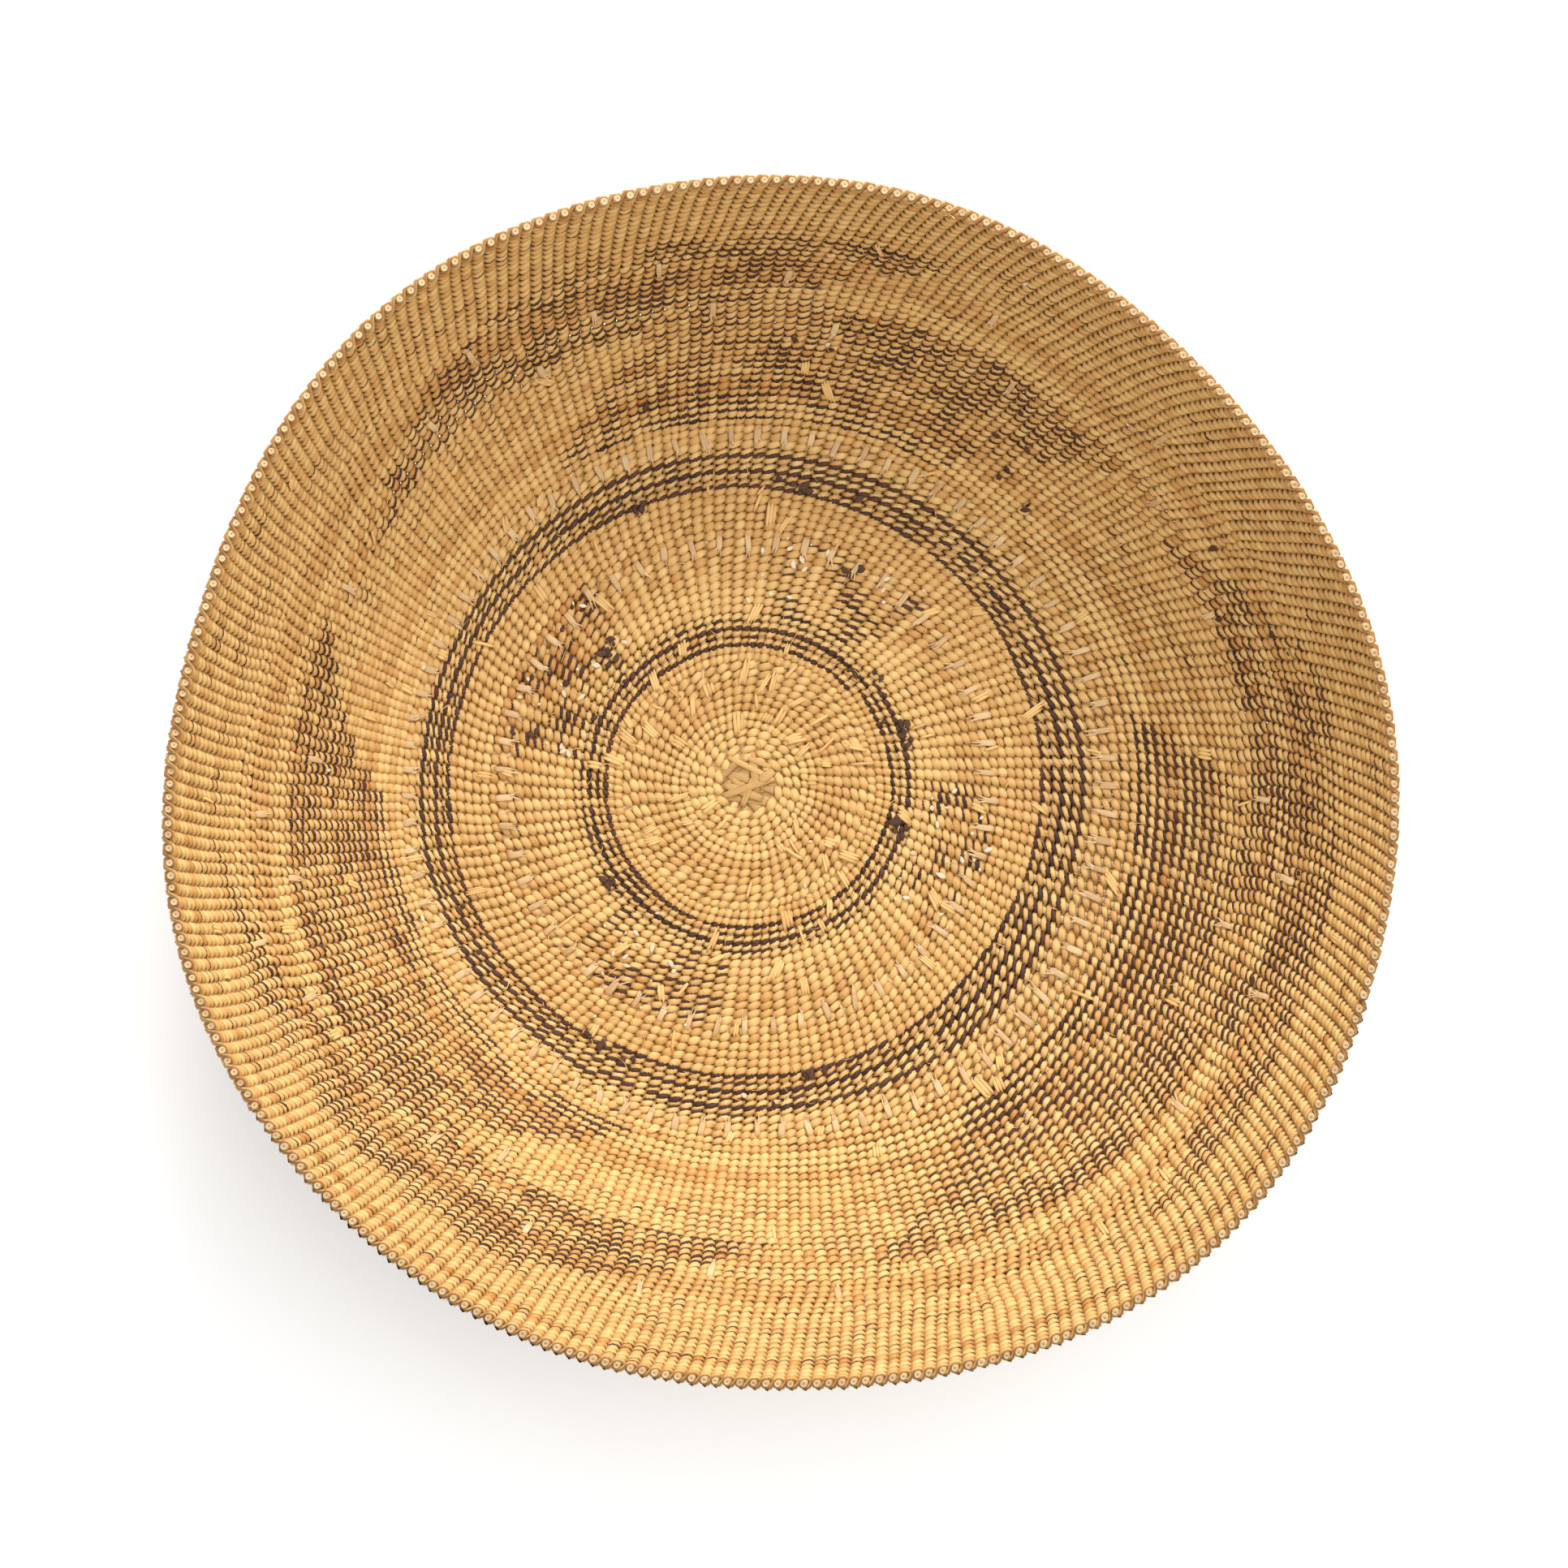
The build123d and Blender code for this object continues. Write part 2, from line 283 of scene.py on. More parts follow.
@dataclass
class WarpLayout:
    """Where the shoots stand: their order around the basket, starts and azimuths.

    Each round adds a shoot beside every one, every second or every fifth of those before it.
    The tables hold a row for each distance of `grid` and a column for each shoot.
    """

    form: BowlForm
    first: int = 54
    rounds: tuple[tuple[str, int], ...] = (("second", 1), ("third", 2), ("fourth", 2), ("rim", 5))
    # Distances from the start at which shoots enter, in millimetres.
    start_entries: tuple[float, ...] = (9.0, 24.0, 15.5, 24.0)
    round_entries: tuple[tuple[str, float], ...] = (("second", 52.0), ("third", 104.0), ("fourth", 149.5))
    entry_spread: float = 0.7
    rim_entries: tuple[float, float] = (204.0, 252.0)
    # A shoot enters at this share of its width and has all of it after the ramp.
    entry_width: float = 0.30
    ramp: float = 18 * MM
    step: float = 0.5 * MM
    wander: tuple[tuple[float, float], ...] = ((0.055, 13 * MM), (0.05, 29 * MM))
    base_lean: float = math.radians(5.5)
    rim_lean: float = math.radians(12)
    lean_change: tuple[float, float] = (140 * MM, 180 * MM)
    least_radius: float = 24 * MM
    extra_lean: float = 0.42
    extra_lean_at: float = math.radians(75)
    names: list[str] = field(init=False)
    entry: Array = field(init=False)
    grid: Array = field(init=False)
    widths: Array = field(init=False)
    turns: Array = field(init=False)

    def __post_init__(self) -> None:
        """Lays the shoots out."""
        rng = np.random.default_rng(SEED)
        order = [("start", index) for index in range(self.first)]
        for name, every in self.rounds:
            widened = []
            for place, shoot in enumerate(order):
                widened.append(shoot)
                if place % every == 0:
                    widened.append((name, place // every))
            order = widened
        self.names = [name for name, _ in order]
        self.entry = np.array([self._entry(name, index, rng) for name, index in order])
        self.grid = np.arange(0, self.form.end + 6 * MM, self.step)
        grid = self.grid[:, None]
        width = self.entry_width + (1 - self.entry_width) * smooth((grid - self.entry) / self.ramp)
        width = np.where(grid < self.entry, 0.0, width)
        total = width.sum(axis=1, keepdims=True)
        total = np.where(total > 0, total, 1.0)
        middle = np.cumsum(width, axis=1) - width / 2
        self.widths = TURN * width / total
        phases = rng.uniform(0, TURN, (len(self.wander), self.count))
        uneven = sum(
            share * np.sin(grid / length + phase)
            for (share, length), phase in zip(self.wander, phases)
        )
        even = TURN * middle / total
        self.turns = even + uneven * self.widths - self._swirl(even)

    @property
    def count(self) -> int:
        """Number of shoots."""
        return len(self.names)

    def _entry(self, name: str, index: int, rng: np.random.Generator) -> float:
        """Distance from the start at which a shoot enters the fabric.

        Args:
            name: the shoot's round.
            index: its place in that round.
            rng: source of the small differences.

        Returns:
            The distance.
        """
        if name == "start":
            return self.start_entries[index % len(self.start_entries)] * MM
        if name == "rim":
            low, high = self.rim_entries
            return (low + (high - low) * (index * GOLDEN % 1)) * MM
        return (dict(self.round_entries)[name] + rng.normal(0, self.entry_spread)) * MM

    def _swirl(self, even: Array) -> Array:
        """How far the leaning shoots have drifted back around the basket, in azimuth.

        Args:
            even: azimuths of the shoots without their lean.

        Returns:
            The drift, shaped the same.
        """
        radius = np.maximum(self.form.radius(self.grid), self.least_radius)
        start, reach = self.lean_change
        rise = smooth((self.grid - start) / reach)
        lean = self.base_lean + (self.rim_lean - self.base_lean) * rise
        drift = np.cumsum(self.step / radius * np.tan(lean))
        wall = drift - np.interp(self.form.flat_radius, self.grid, drift)
        share = self.extra_lean * np.cos(even - self.extra_lean_at)
        return drift[:, None] + np.maximum(wall, 0)[:, None] * share

    def at(self, column: Array, along: Array, table: Array | None = None) -> Array:
        """Azimuth of a shoot at a distance along the fabric.

        Args:
            column: index of the shoot around the basket.
            along: distance along the fabric.
            table: another table over the same grid, such as the angular widths.

        Returns:
            The azimuth, or the other table's value.
        """
        table = self.turns if table is None else table
        place = np.clip(along / self.step, 0, len(self.grid) - 1.001)
        low = place.astype(int)
        part = place - low
        return table[low, column] * (1 - part) + table[low + 1, column] * part


@dataclass
class Crossings:
    """Every crossing of the two spiralling weft strands with a shoot, in working order.

    For each crossing, `nominal` is its even distance from the start, `along` the same with the
    rows' slight waves, `turn` its azimuth, which counts on from row to row, and `width` the
    width of its column.
    """

    layout: WarpLayout
    last_along: float
    pitch: float = 3.5 * MM
    first_along: float = 10.5 * MM
    even_rows: tuple[float, float] = (16 * MM, 20 * MM)
    row_waves: tuple[Wave, ...] = (
        (0.30, 4, 19 * MM, 0.0),
        (0.22, 7, -11 * MM, 1.3),
        (0.14, 13, 7 * MM, 0.6),
    )
    nominal: Array = field(init=False)
    along: Array = field(init=False)
    turn: Array = field(init=False)
    width: Array = field(init=False)

    def __post_init__(self) -> None:
        """Walks the spiral from the start to the rim."""
        layout = self.layout
        rows = math.ceil((self.last_along - self.first_along) / self.pitch)
        row, column = np.meshgrid(np.arange(rows), np.arange(layout.count), indexing="ij")
        along = self.first_along + self.pitch * (row + column / layout.count)
        shown = (along > layout.entry[column]) & (along < self.last_along)
        row, column, self.nominal = row[shown], column[shown], along[shown]
        turn = layout.at(column, self.nominal)
        self.turn = turn + TURN * row
        start, reach = self.even_rows
        inner = smooth((self.nominal - start) / reach)
        self.along = self.nominal + ripple(turn, self.nominal, self.row_waves) * MM * inner
        radius = np.interp(self.along, layout.grid, layout.form.radius(layout.grid))
        self.width = layout.at(column, self.along, layout.widths) * radius

    @property
    def size(self) -> int:
        """Number of crossings."""
        return len(self.nominal)

    def spread(self, values: Array, where: Array) -> Array:
        """Values of the crossings, interpolated between crossings."""
        return np.interp(where, np.arange(self.size), values)

    def within(self, start: float, end: float) -> Array:
        """Indices of the crossings between two distances from the start."""
        return np.nonzero(between(self.nominal, start, end))[0]


# ---------------------------------------------------------------------------------- meshes


@dataclass
class Sheets:
    """Many small tubes and strips gathered into one mesh, with their look for the finish.

    Each sheet is a grid of points, open along its length and closed or open across it. Its steps
    are laid side by side in one atlas for the baked finish.
    """

    points: list[Array] = field(default_factory=list)
    faces: list[Array] = field(default_factory=list)
    looks: list[Array] = field(default_factory=list)
    grains: list[Array] = field(default_factory=list)
    atlas: list[Array] = field(default_factory=list)
    count: int = 0
    steps: int = 0
    tallest: int = 0

    CORNER_STEPS = np.array([[0, 0], [0, 1], [1, 1], [1, 0]], dtype=float)

    def add(self, grid: Array, look: Array, grain: Array, closed: bool = True, cap: bool = False) -> None:
        """Adds a batch of sheets of one size.

        Args:
            grid: points, shaped (sheets, length, across, 3).
            look: tone, chance and painted shade of each point, shaped like the points.
            grain: run along, place across and offset of the fibre, shaped like the points.
            closed: whether the last point across joins the first.
            cap: whether both ends are closed with a fan around their middle.
        """
        sheets, length, across, _ = grid.shape
        index = np.arange(sheets * length * across).reshape(sheets, length, across) + self.count
        ahead = np.roll(index, -1, axis=2) if closed else index[:, :, 1:]
        here = index if closed else index[:, :, :-1]
        quads = np.stack([here[:, :-1], ahead[:, :-1], ahead[:, 1:], here[:, 1:]], axis=-1)
        self.points.append(grid.reshape(-1, 3))
        self.faces.append(quads.reshape(-1, 4))
        self.looks.append(look.reshape(-1, 3))
        self.grains.append(grain.reshape(-1, 3))
        self.count += sheets * length * across
        rows = here.shape[2]
        self.tallest = max(self.tallest, rows)
        step = np.arange(sheets * (length - 1)).reshape(sheets, length - 1, 1)
        self._lay(np.broadcast_to(step, quads.shape[:3]), self.CORNER_STEPS)
        if cap:
            for end in (0, -1):
                self._cap(grid, look, grain, index, end)

    def _lay(self, step: Array, corners: Array) -> None:
        """Gives each face its step in the atlas and its corners within that step.

        Args:
            step: number of each face's step, with the faces across in its last length.
            corners: place of the four corners along and across the face.
        """
        rows = step.shape[-1]
        spot = np.zeros(step.shape + (4, 3))
        spot[..., 0] = step[..., None] + self.steps
        spot[..., 1] = corners[:, 0]
        spot[..., 2] = np.arange(rows)[:, None] + corners[:, 1]
        self.atlas.append(spot.reshape(-1, 4, 3))
        self.steps += int(step.max()) + 1

    def _cap(self, grid: Array, look: Array, grain: Array, index: Array, end: int) -> None:
        """Closes one end of every sheet with a fan.

        Args:
            grid: points of the sheets.
            look: tone, chance and painted shade of each point.
            grain: run along, place across and offset of the fibre.
            index: number of each point in the mesh.
            end: 0 for the first end and -1 for the last.
        """
        sheets = grid.shape[0]
        hub = np.broadcast_to((np.arange(sheets) + self.count)[:, None], index[:, end].shape)
        ring = index[:, end]
        following = np.roll(ring, -1, axis=1)
        order = [following, ring, hub, hub] if end == 0 else [ring, following, hub, hub]
        flip = [[0, 1], [0, 0]] if end == 0 else [[0, 0], [0, 1]]
        corners = np.array(flip + [[1, 0.5], [1, 0.5]], dtype=float)
        self.faces.append(np.stack(order, axis=-1).reshape(-1, 4))
        self.points.append(grid[:, end].mean(axis=1))
        self.looks.append(look[:, end].mean(axis=1))
        self.grains.append(grain[:, end].mean(axis=1))
        self.count += sheets
        self._lay(np.broadcast_to(np.arange(sheets)[:, None], ring.shape), corners)

    def build(self, name: str) -> bpy.types.Object:
        """Makes the mesh object.

        Args:
            name: name of the object.

        Returns:
            The object, linked to the scene.
        """
        points = np.concatenate(self.points).astype(np.float32)
        faces = np.concatenate(self.faces).astype(np.int32)
        spots = np.concatenate(self.atlas)
        tall = self.tallest + 1
        wide = math.ceil(math.sqrt(self.steps * tall))
        row, column = np.divmod(spots[..., 0], wide)
        high = tall * (math.ceil(self.steps / wide))
        run = (column + spots[..., 1]) / wide
        places = np.stack([run, (row * tall + spots[..., 2]) / high], axis=-1)
        fan = faces[:, 2] == faces[:, 3]
        loops = np.concatenate([faces[~fan].ravel(), faces[fan][:, :3].ravel()])
        places = np.concatenate([places[~fan].reshape(-1, 2), places[fan][:, :3].reshape(-1, 2)])
        sizes = np.concatenate([np.full((~fan).sum(), 4), np.full(fan.sum(), 3)])
        starts = np.concatenate([[0], np.cumsum(sizes)[:-1]]).astype(np.int32)
        mesh = bpy.data.meshes.new(name)
        mesh.vertices.add(len(points))
        mesh.vertices.foreach_set("co", points.ravel())
        mesh.loops.add(len(loops))
        mesh.loops.foreach_set("vertex_index", loops.astype(np.int32))
        mesh.polygons.add(len(sizes))
        mesh.polygons.foreach_set("loop_start", starts)
        mesh.polygons.foreach_set("use_smooth", np.ones(len(sizes), dtype=bool))
        layer = mesh.uv_layers.new(name="OFBake")
        layer.uv.foreach_set("vector", places.astype(np.float32).ravel())
        for label, values in (("look", self.looks), ("grain", self.grains)):
            layer = mesh.attributes.new(label, "FLOAT_VECTOR", "POINT")
            layer.data.foreach_set("vector", np.concatenate(values).astype(np.float32).ravel())
        mesh.update(calc_edges=True)
        item = bpy.data.objects.new(name, mesh)
        bpy.context.scene.collection.objects.link(item)
        return item


def tube(path: Array, side: Array, half_width: Array, half_depth: Array, corners: int) -> Array:
    """Points of a tube of oval section around a path.

    Args:
        path: centre points, shaped (tubes, length, 3).
        side: rough direction of the section's width at each point.
        half_width: half the width, shaped (tubes, length).
        half_depth: half the thickness, shaped the same.
        corners: points in one section.

    Returns:
        Points shaped (tubes, length, corners, 3).
    """
    run = np.gradient(path, axis=1)
    run /= np.linalg.norm(run, axis=-1, keepdims=True) + 1e-12
    side = side - run * (side * run).sum(axis=-1, keepdims=True)
    side /= np.linalg.norm(side, axis=-1, keepdims=True) + 1e-12
    rise = np.cross(run, side)
    angle = np.arange(corners) / corners * TURN
    wide = np.cos(angle) * half_width[..., None]
    deep = np.sin(angle) * half_depth[..., None]
    wide = side[:, :, None] * wide[..., None]
    return path[:, :, None] + wide + rise[:, :, None] * deep[..., None]


# -------------------------------------------------------------------------------- finishes


class Shader:
    """A small wrapper that keeps node graphs readable."""

    def __init__(self, name: str) -> None:
        """Starts a material with an empty graph.

        Args:
            name: name of the material.
        """
        self.material = bpy.data.materials.new(name)
        self.material.use_nodes = True
        self.nodes = self.material.node_tree.nodes
        self.links = self.material.node_tree.links
        self.nodes.clear()

    def put(self, made: bpy.types.Node, place: int | str, value: object) -> None:
        """Gives an input a value, or a link where the value is a socket.

        Args:
            made: the node.
            place: name or number of the input.
            value: what it gets.
        """
        if isinstance(value, bpy.types.NodeSocket):
            self.links.new(value, made.inputs[place])
        else:
            made.inputs[place].default_value = value

    def node(self, kind: str, inputs: dict | None = None, **settings: object) -> bpy.types.Node:
        """Adds a node.

        Args:
            kind: its type.
            inputs: values or sockets by the name or number of the input.
            settings: other settings of the node.

        Returns:
            The node.
        """
        made = self.nodes.new(kind)
        for key, value in settings.items():
            setattr(made, key, value)
        for key, value in (inputs or {}).items():
            self.put(made, key, value)
        return made

    def maths(self, operation: str, *values: object) -> bpy.types.NodeSocket:
        """One arithmetic step.

        Args:
            operation: its name, which ends with ! where the result is clamped to 0..1.
            values: sockets or numbers.

        Returns:
            The result.
        """
        made = self.node("ShaderNodeMath", dict(enumerate(values)), operation=operation.rstrip("!"))
        made.use_clamp = operation.endswith("!")
        return made.outputs[0]

    def mix(self, factor: object, first: object, second: object) -> bpy.types.NodeSocket:
        """Mixes two colours.

        Args:
            factor: share of the second.
            first: first colour.
            second: second colour.

        Returns:
            The mixed colour.
        """
        made = self.node("ShaderNodeMix", data_type="RGBA")
        for place, value in ((0, factor), (6, first), (7, second)):
            self.put(made, place, value)
        return made.outputs[2]

    def vector(self, name: str) -> tuple[bpy.types.NodeSocket, Sequence[bpy.types.NodeSocket]]:
        """A vector attribute of the mesh and its three parts."""
        source = self.node("ShaderNodeAttribute", attribute_name=name).outputs["Vector"]
        return source, self.node("ShaderNodeSeparateXYZ", {0: source}).outputs

    def noise(self, vector: bpy.types.NodeSocket, scale: float, detail: float) -> bpy.types.NodeSocket:
        """Noise from 0 to 1."""
        inputs = {"Vector": vector, "Scale": scale, "Detail": detail}
        return self.node("ShaderNodeTexNoise", inputs).outputs[0]

    def finish(
        self,
        colour: bpy.types.NodeSocket,
        roughness: bpy.types.NodeSocket,
        height: bpy.types.NodeSocket,
        relief: float,
    ) -> bpy.types.Material:
        """Ends the graph with a surface and its bump.

        Args:
            colour: base colour.
            roughness: roughness.
            height: height of the surface, from 0 to 1.
            relief: distance between heights 0 and 1.

        Returns:
            The material.
        """
        bump = self.node("ShaderNodeBump", {"Height": height, "Strength": 1.0, "Distance": relief})
        inputs = {"Base Color": colour, "Roughness": roughness, "Normal": bump.outputs[0]}
        surface = self.node("ShaderNodeBsdfPrincipled", inputs)
        self.node("ShaderNodeOutputMaterial", {"Surface": surface.outputs[0]})
        return self.material


Colour = tuple[float, float, float, float]


def rgb(red: float, green: float, blue: float) -> Colour:
    """Linear colour from display values of 0 to 255."""
    return tuple(((v / 255) ** 2.2) for v in (red, green, blue)) + (1.0,)


@dataclass(frozen=True)
class FibreFinish:
    """Split root, peeled shoot or leaf: long fibres with tone that changes from piece to piece."""

    name: str
    pale: Colour
    deep: Colour
    # Painted shade: the colour that dips and seams darken towards.
    groove_shade: Colour
    roughness: float = 0.5
    fibre_mix: float = 0.35
    tone_mix: float = 0.75
    chance_mix: float = 0.3
    # Painted shade: how sharply and how strongly the dips and seams darken.
    shade_power: float = 2.0
    shade_mix: float = 0.85
    relief: float = 0.08 * MM

    def material(self) -> bpy.types.Material:
        """Builds the material.

        Returns:
            The material, whose tone and painted shade follow the "look" and "grain" of the mesh.
        """
        shader = Shader(self.name)
        _, (tone, chance, groove_shade) = shader.vector("look")
        grain, _ = shader.vector("grain")
        fibre = shader.noise(grain, 1.0, 3.0)
        broad = shader.noise(grain, 0.23, 2.0)
        share = shader.maths("MULTIPLY", tone, self.tone_mix)
        spread = shader.maths("MULTIPLY", shader.maths("SUBTRACT", chance, 0.5), self.chance_mix)
        share = shader.maths("ADD", share, spread)
        lines = shader.maths("MULTIPLY", shader.maths("SUBTRACT", fibre, 0.5), self.fibre_mix * 2)
        share = shader.maths("ADD", share, lines)
        patches = shader.maths("MULTIPLY", shader.maths("SUBTRACT", broad, 0.5), self.fibre_mix)
        share = shader.maths("ADD!", share, patches)
        colour = shader.mix(share, self.pale, self.deep)
        # Painted shade: the colour darkens towards the shade colour in dips and seams, as the third part of
        # the look says.
        shade_share = shader.maths("POWER", groove_shade, self.shade_power)
        shade_share = shader.maths("MULTIPLY!", shade_share, self.shade_mix)
        colour = shader.mix(shade_share, colour, self.groove_shade)
        rough = shader.maths("ADD!", shader.maths("MULTIPLY", fibre, 0.2), self.roughness - 0.1)
        return shader.finish(colour, rough, fibre, self.relief)


# The third colour of each finish is its painted shade, for dips and seams.
ROOT = FibreFinish(
    "split_root",
    pale=rgb(250, 208, 134),
    deep=rgb(198, 130, 58),
    groove_shade=rgb(104, 60, 24),
    roughness=0.45,
)
SHOOT = FibreFinish(
    "peeled_shoot",
    pale=rgb(240, 208, 156),
    deep=rgb(184, 130, 76),
    groove_shade=rgb(128, 84, 42),
    roughness=0.6,
)
STICK = FibreFinish(
    "flat_stick",
    pale=rgb(232, 188, 118),
    deep=rgb(158, 106, 50),
    groove_shade=rgb(104, 64, 28),
    roughness=0.6,
    fibre_mix=0.5,
)
DARK = FibreFinish(
    "dark_stem",
    pale=rgb(92, 58, 40),
    deep=rgb(38, 22, 15),
    groove_shade=rgb(22, 13, 9),
    roughness=0.58,
    fibre_mix=0.3,
)
PALE = FibreFinish(
    "dried_leaf",
    pale=rgb(243, 228, 184),
    deep=rgb(210, 172, 110),
    groove_shade=rgb(160, 112, 60),
    roughness=0.42,
)
HUSK = FibreFinish(
    "seed_husk",
    pale=rgb(250, 238, 208),
    deep=rgb(226, 196, 140),
    groove_shade=rgb(190, 150, 96),
    roughness=0.6,
)


# ------------------------------------------------------------------------------------ weft


@dataclass(frozen=True)
class Zone:
    """A stretch of the fabric that one set of pieces covers."""

    name: str
    start: float
    end: float
    parts: int = 1


@dataclass
class Pattern:
    """Where the overlay is dark outside, and where its edges show inside.

    For each crossing, `dark` and `covered` tell which strip lies outside, `mark` how strongly its
    dark edge shows inside, `slim` how thin the root is there and `stain` how much browner.
    """

    form: BowlForm
    crossings: Crossings
    covered_from: float = 60 * MM
    base_ring: tuple[float, float] = (60 * MM, 73.2 * MM)
    wall_ring: tuple[float, float] = (125 * MM, 142.8 * MM)
    rim_line: tuple[float, float] = (1.66, 1.78)
    rim_blocks: tuple[float, float] = (2.0, 2.45)
    block_turn: float = math.radians(121)
    block_half: float = math.radians(15)
    base_end: float = 120 * MM
    # Start and end along the fabric in millimetres, then for each motif both sides in degrees at
    # its start and how far each moves back, in degrees per millimetre.
    motifs: tuple = (
        (
            74,
            107,
            ((50, 84, 0.15, 0.15), (132, 176, 0.12, 0.12), (225, 266, 0.15, 0.12), (324, 362, 0.12, 0.1)),
        ),
        (158, 220, ((60, 122, 0.36, 0.40), (185, 252, 0.45, 0.50), (304, 370, 0.30, 0.24))),
        (208, 262, ((92, 150, 0.50, 0.72), (222, 274, 0.62, 0.60), (340, 391, 0.55, 0.40))),
    )
    motif_step: float = 7.0
    patches: tuple[Wave, ...] = (
        (1.0, 7, 11 * MM, 0.0),
        (1.0, 17, -7.3 * MM, 2.0),
        (0.8, 31, 13 * MM, 4.0),
    )
    dark: Array = field(init=False)
    covered: Array = field(init=False)
    mark: Array = field(init=False)
    slim: Array = field(init=False)
    stain: Array = field(init=False)

    def __post_init__(self) -> None:
        """Works out the pattern at every crossing."""
        at = self.form.along_at
        rng = np.random.default_rng(SEED + 4)
        along, turn = self.crossings.nominal, self.crossings.turn
        motif = self._motifs(turn, along)
        base_motif = motif & (along < self.base_end)
        base_ring = between(along, *self.base_ring)
        wall_ring = between(along, *self.wall_ring)
        rim_line = between(along, *map(at, self.rim_line))
        third = TURN / 3
        rim_blocks = np.abs((turn - self.block_turn + third / 2) % third - third / 2) < self.block_half
        rim_blocks = rim_blocks & between(along, *map(at, self.rim_blocks))
        ring = base_ring | wall_ring
        self.dark = ring | rim_line | rim_blocks | motif
        self.covered = along > self.covered_from
        first = np.where(base_ring, self.base_ring[0], np.where(wall_ring, self.wall_ring[0], 0.0))
        lines = ((along - first) / self.crossings.pitch).astype(int) % 2 == 0
        noise = ripple(turn, along, self.patches)
        rough = rng.normal(0, 1, self.crossings.size)
        row = np.round(along / self.crossings.pitch)
        heavy = np.sin(row * 2.4 + 3 * np.sin(turn * 2)) > -0.2
        mark = np.zeros(self.crossings.size)
        # Where, then the level and the shares of patches, single stitches and heavy rows.
        for where, level, by_patch, by_stitch, by_row in (
            (motif, 0.60, 0.13, 0.18, 0.14),
            (base_motif, 0.30, 0.22, 0.25, 0.0),
            (rim_line, 0.30, 0.10, 0.2, 0.0),
            (rim_blocks, 0.35, 0.08, 0.15, 0.0),
            (ring & lines, 0.93, 0.08, 0.12, 0.0),
            (ring & ~lines, 0.24, 0.08, 0.14, 0.0),
        ):
            mark = np.where(where, level + by_patch * noise + by_stitch * rough + by_row * heavy, mark)
        near = smooth((along - 146 * MM) / (14 * MM)) * (0.13 + 0.055 * noise)
        stray = rng.random(self.crossings.size) < near + 0.008 * (along > 80 * MM)
        mark = np.where(stray & ~self.dark, 0.34 + 0.16 * rough, mark)
        trace = between(along, self.form.end - 21 * MM, self.form.end - 13 * MM) & ~self.dark
        front = 0.5 + 0.5 * np.cos(turn - math.radians(280))
        mark = np.where(trace, 0.26 + 0.28 * front + 0.14 * noise + 0.14 * rough, mark)
        self.mark = np.clip(mark, 0.0, 1.0)
        self.slim = np.where(ring, 0.71 + 0.05 * rough.clip(-1, 1), 1.0)
        self.slim = np.where(motif, 0.95 - 0.14 * self.mark, self.slim)
        self.stain = np.where(motif, 0.02 + 0.16 * self.mark, 0.0)
        stained = smooth(1.6 - np.abs(turn % TURN - math.radians(150)) / 0.3) * (0.26 + 0.10 * noise)
        self.stain = np.where(base_motif, self.stain + stained, self.stain)
        self.stain = np.where(trace, 0.40 * front, self.stain)

    def _motifs(self, turn: Array, along: Array) -> Array:
        """Whether each place lies in a motif, whose sides step across the rows.

        Args:
            turn: azimuth of each place.
            along: distance along the fabric of each place.

        Returns:
            True in a motif.
        """
        found = np.zeros(turn.shape, dtype=bool)
        degrees = np.degrees(turn)
        for start, end, motifs in self.motifs:
            step = np.round((along / MM - start) / self.motif_step) * self.motif_step
            for first, last, first_lean, last_lean in motifs:
                off = (degrees - first + first_lean * step) % 360
                reach = last - first + (first_lean - last_lean) * step
                found |= between(along, start * MM, end * MM) & (off < reach)
        return found


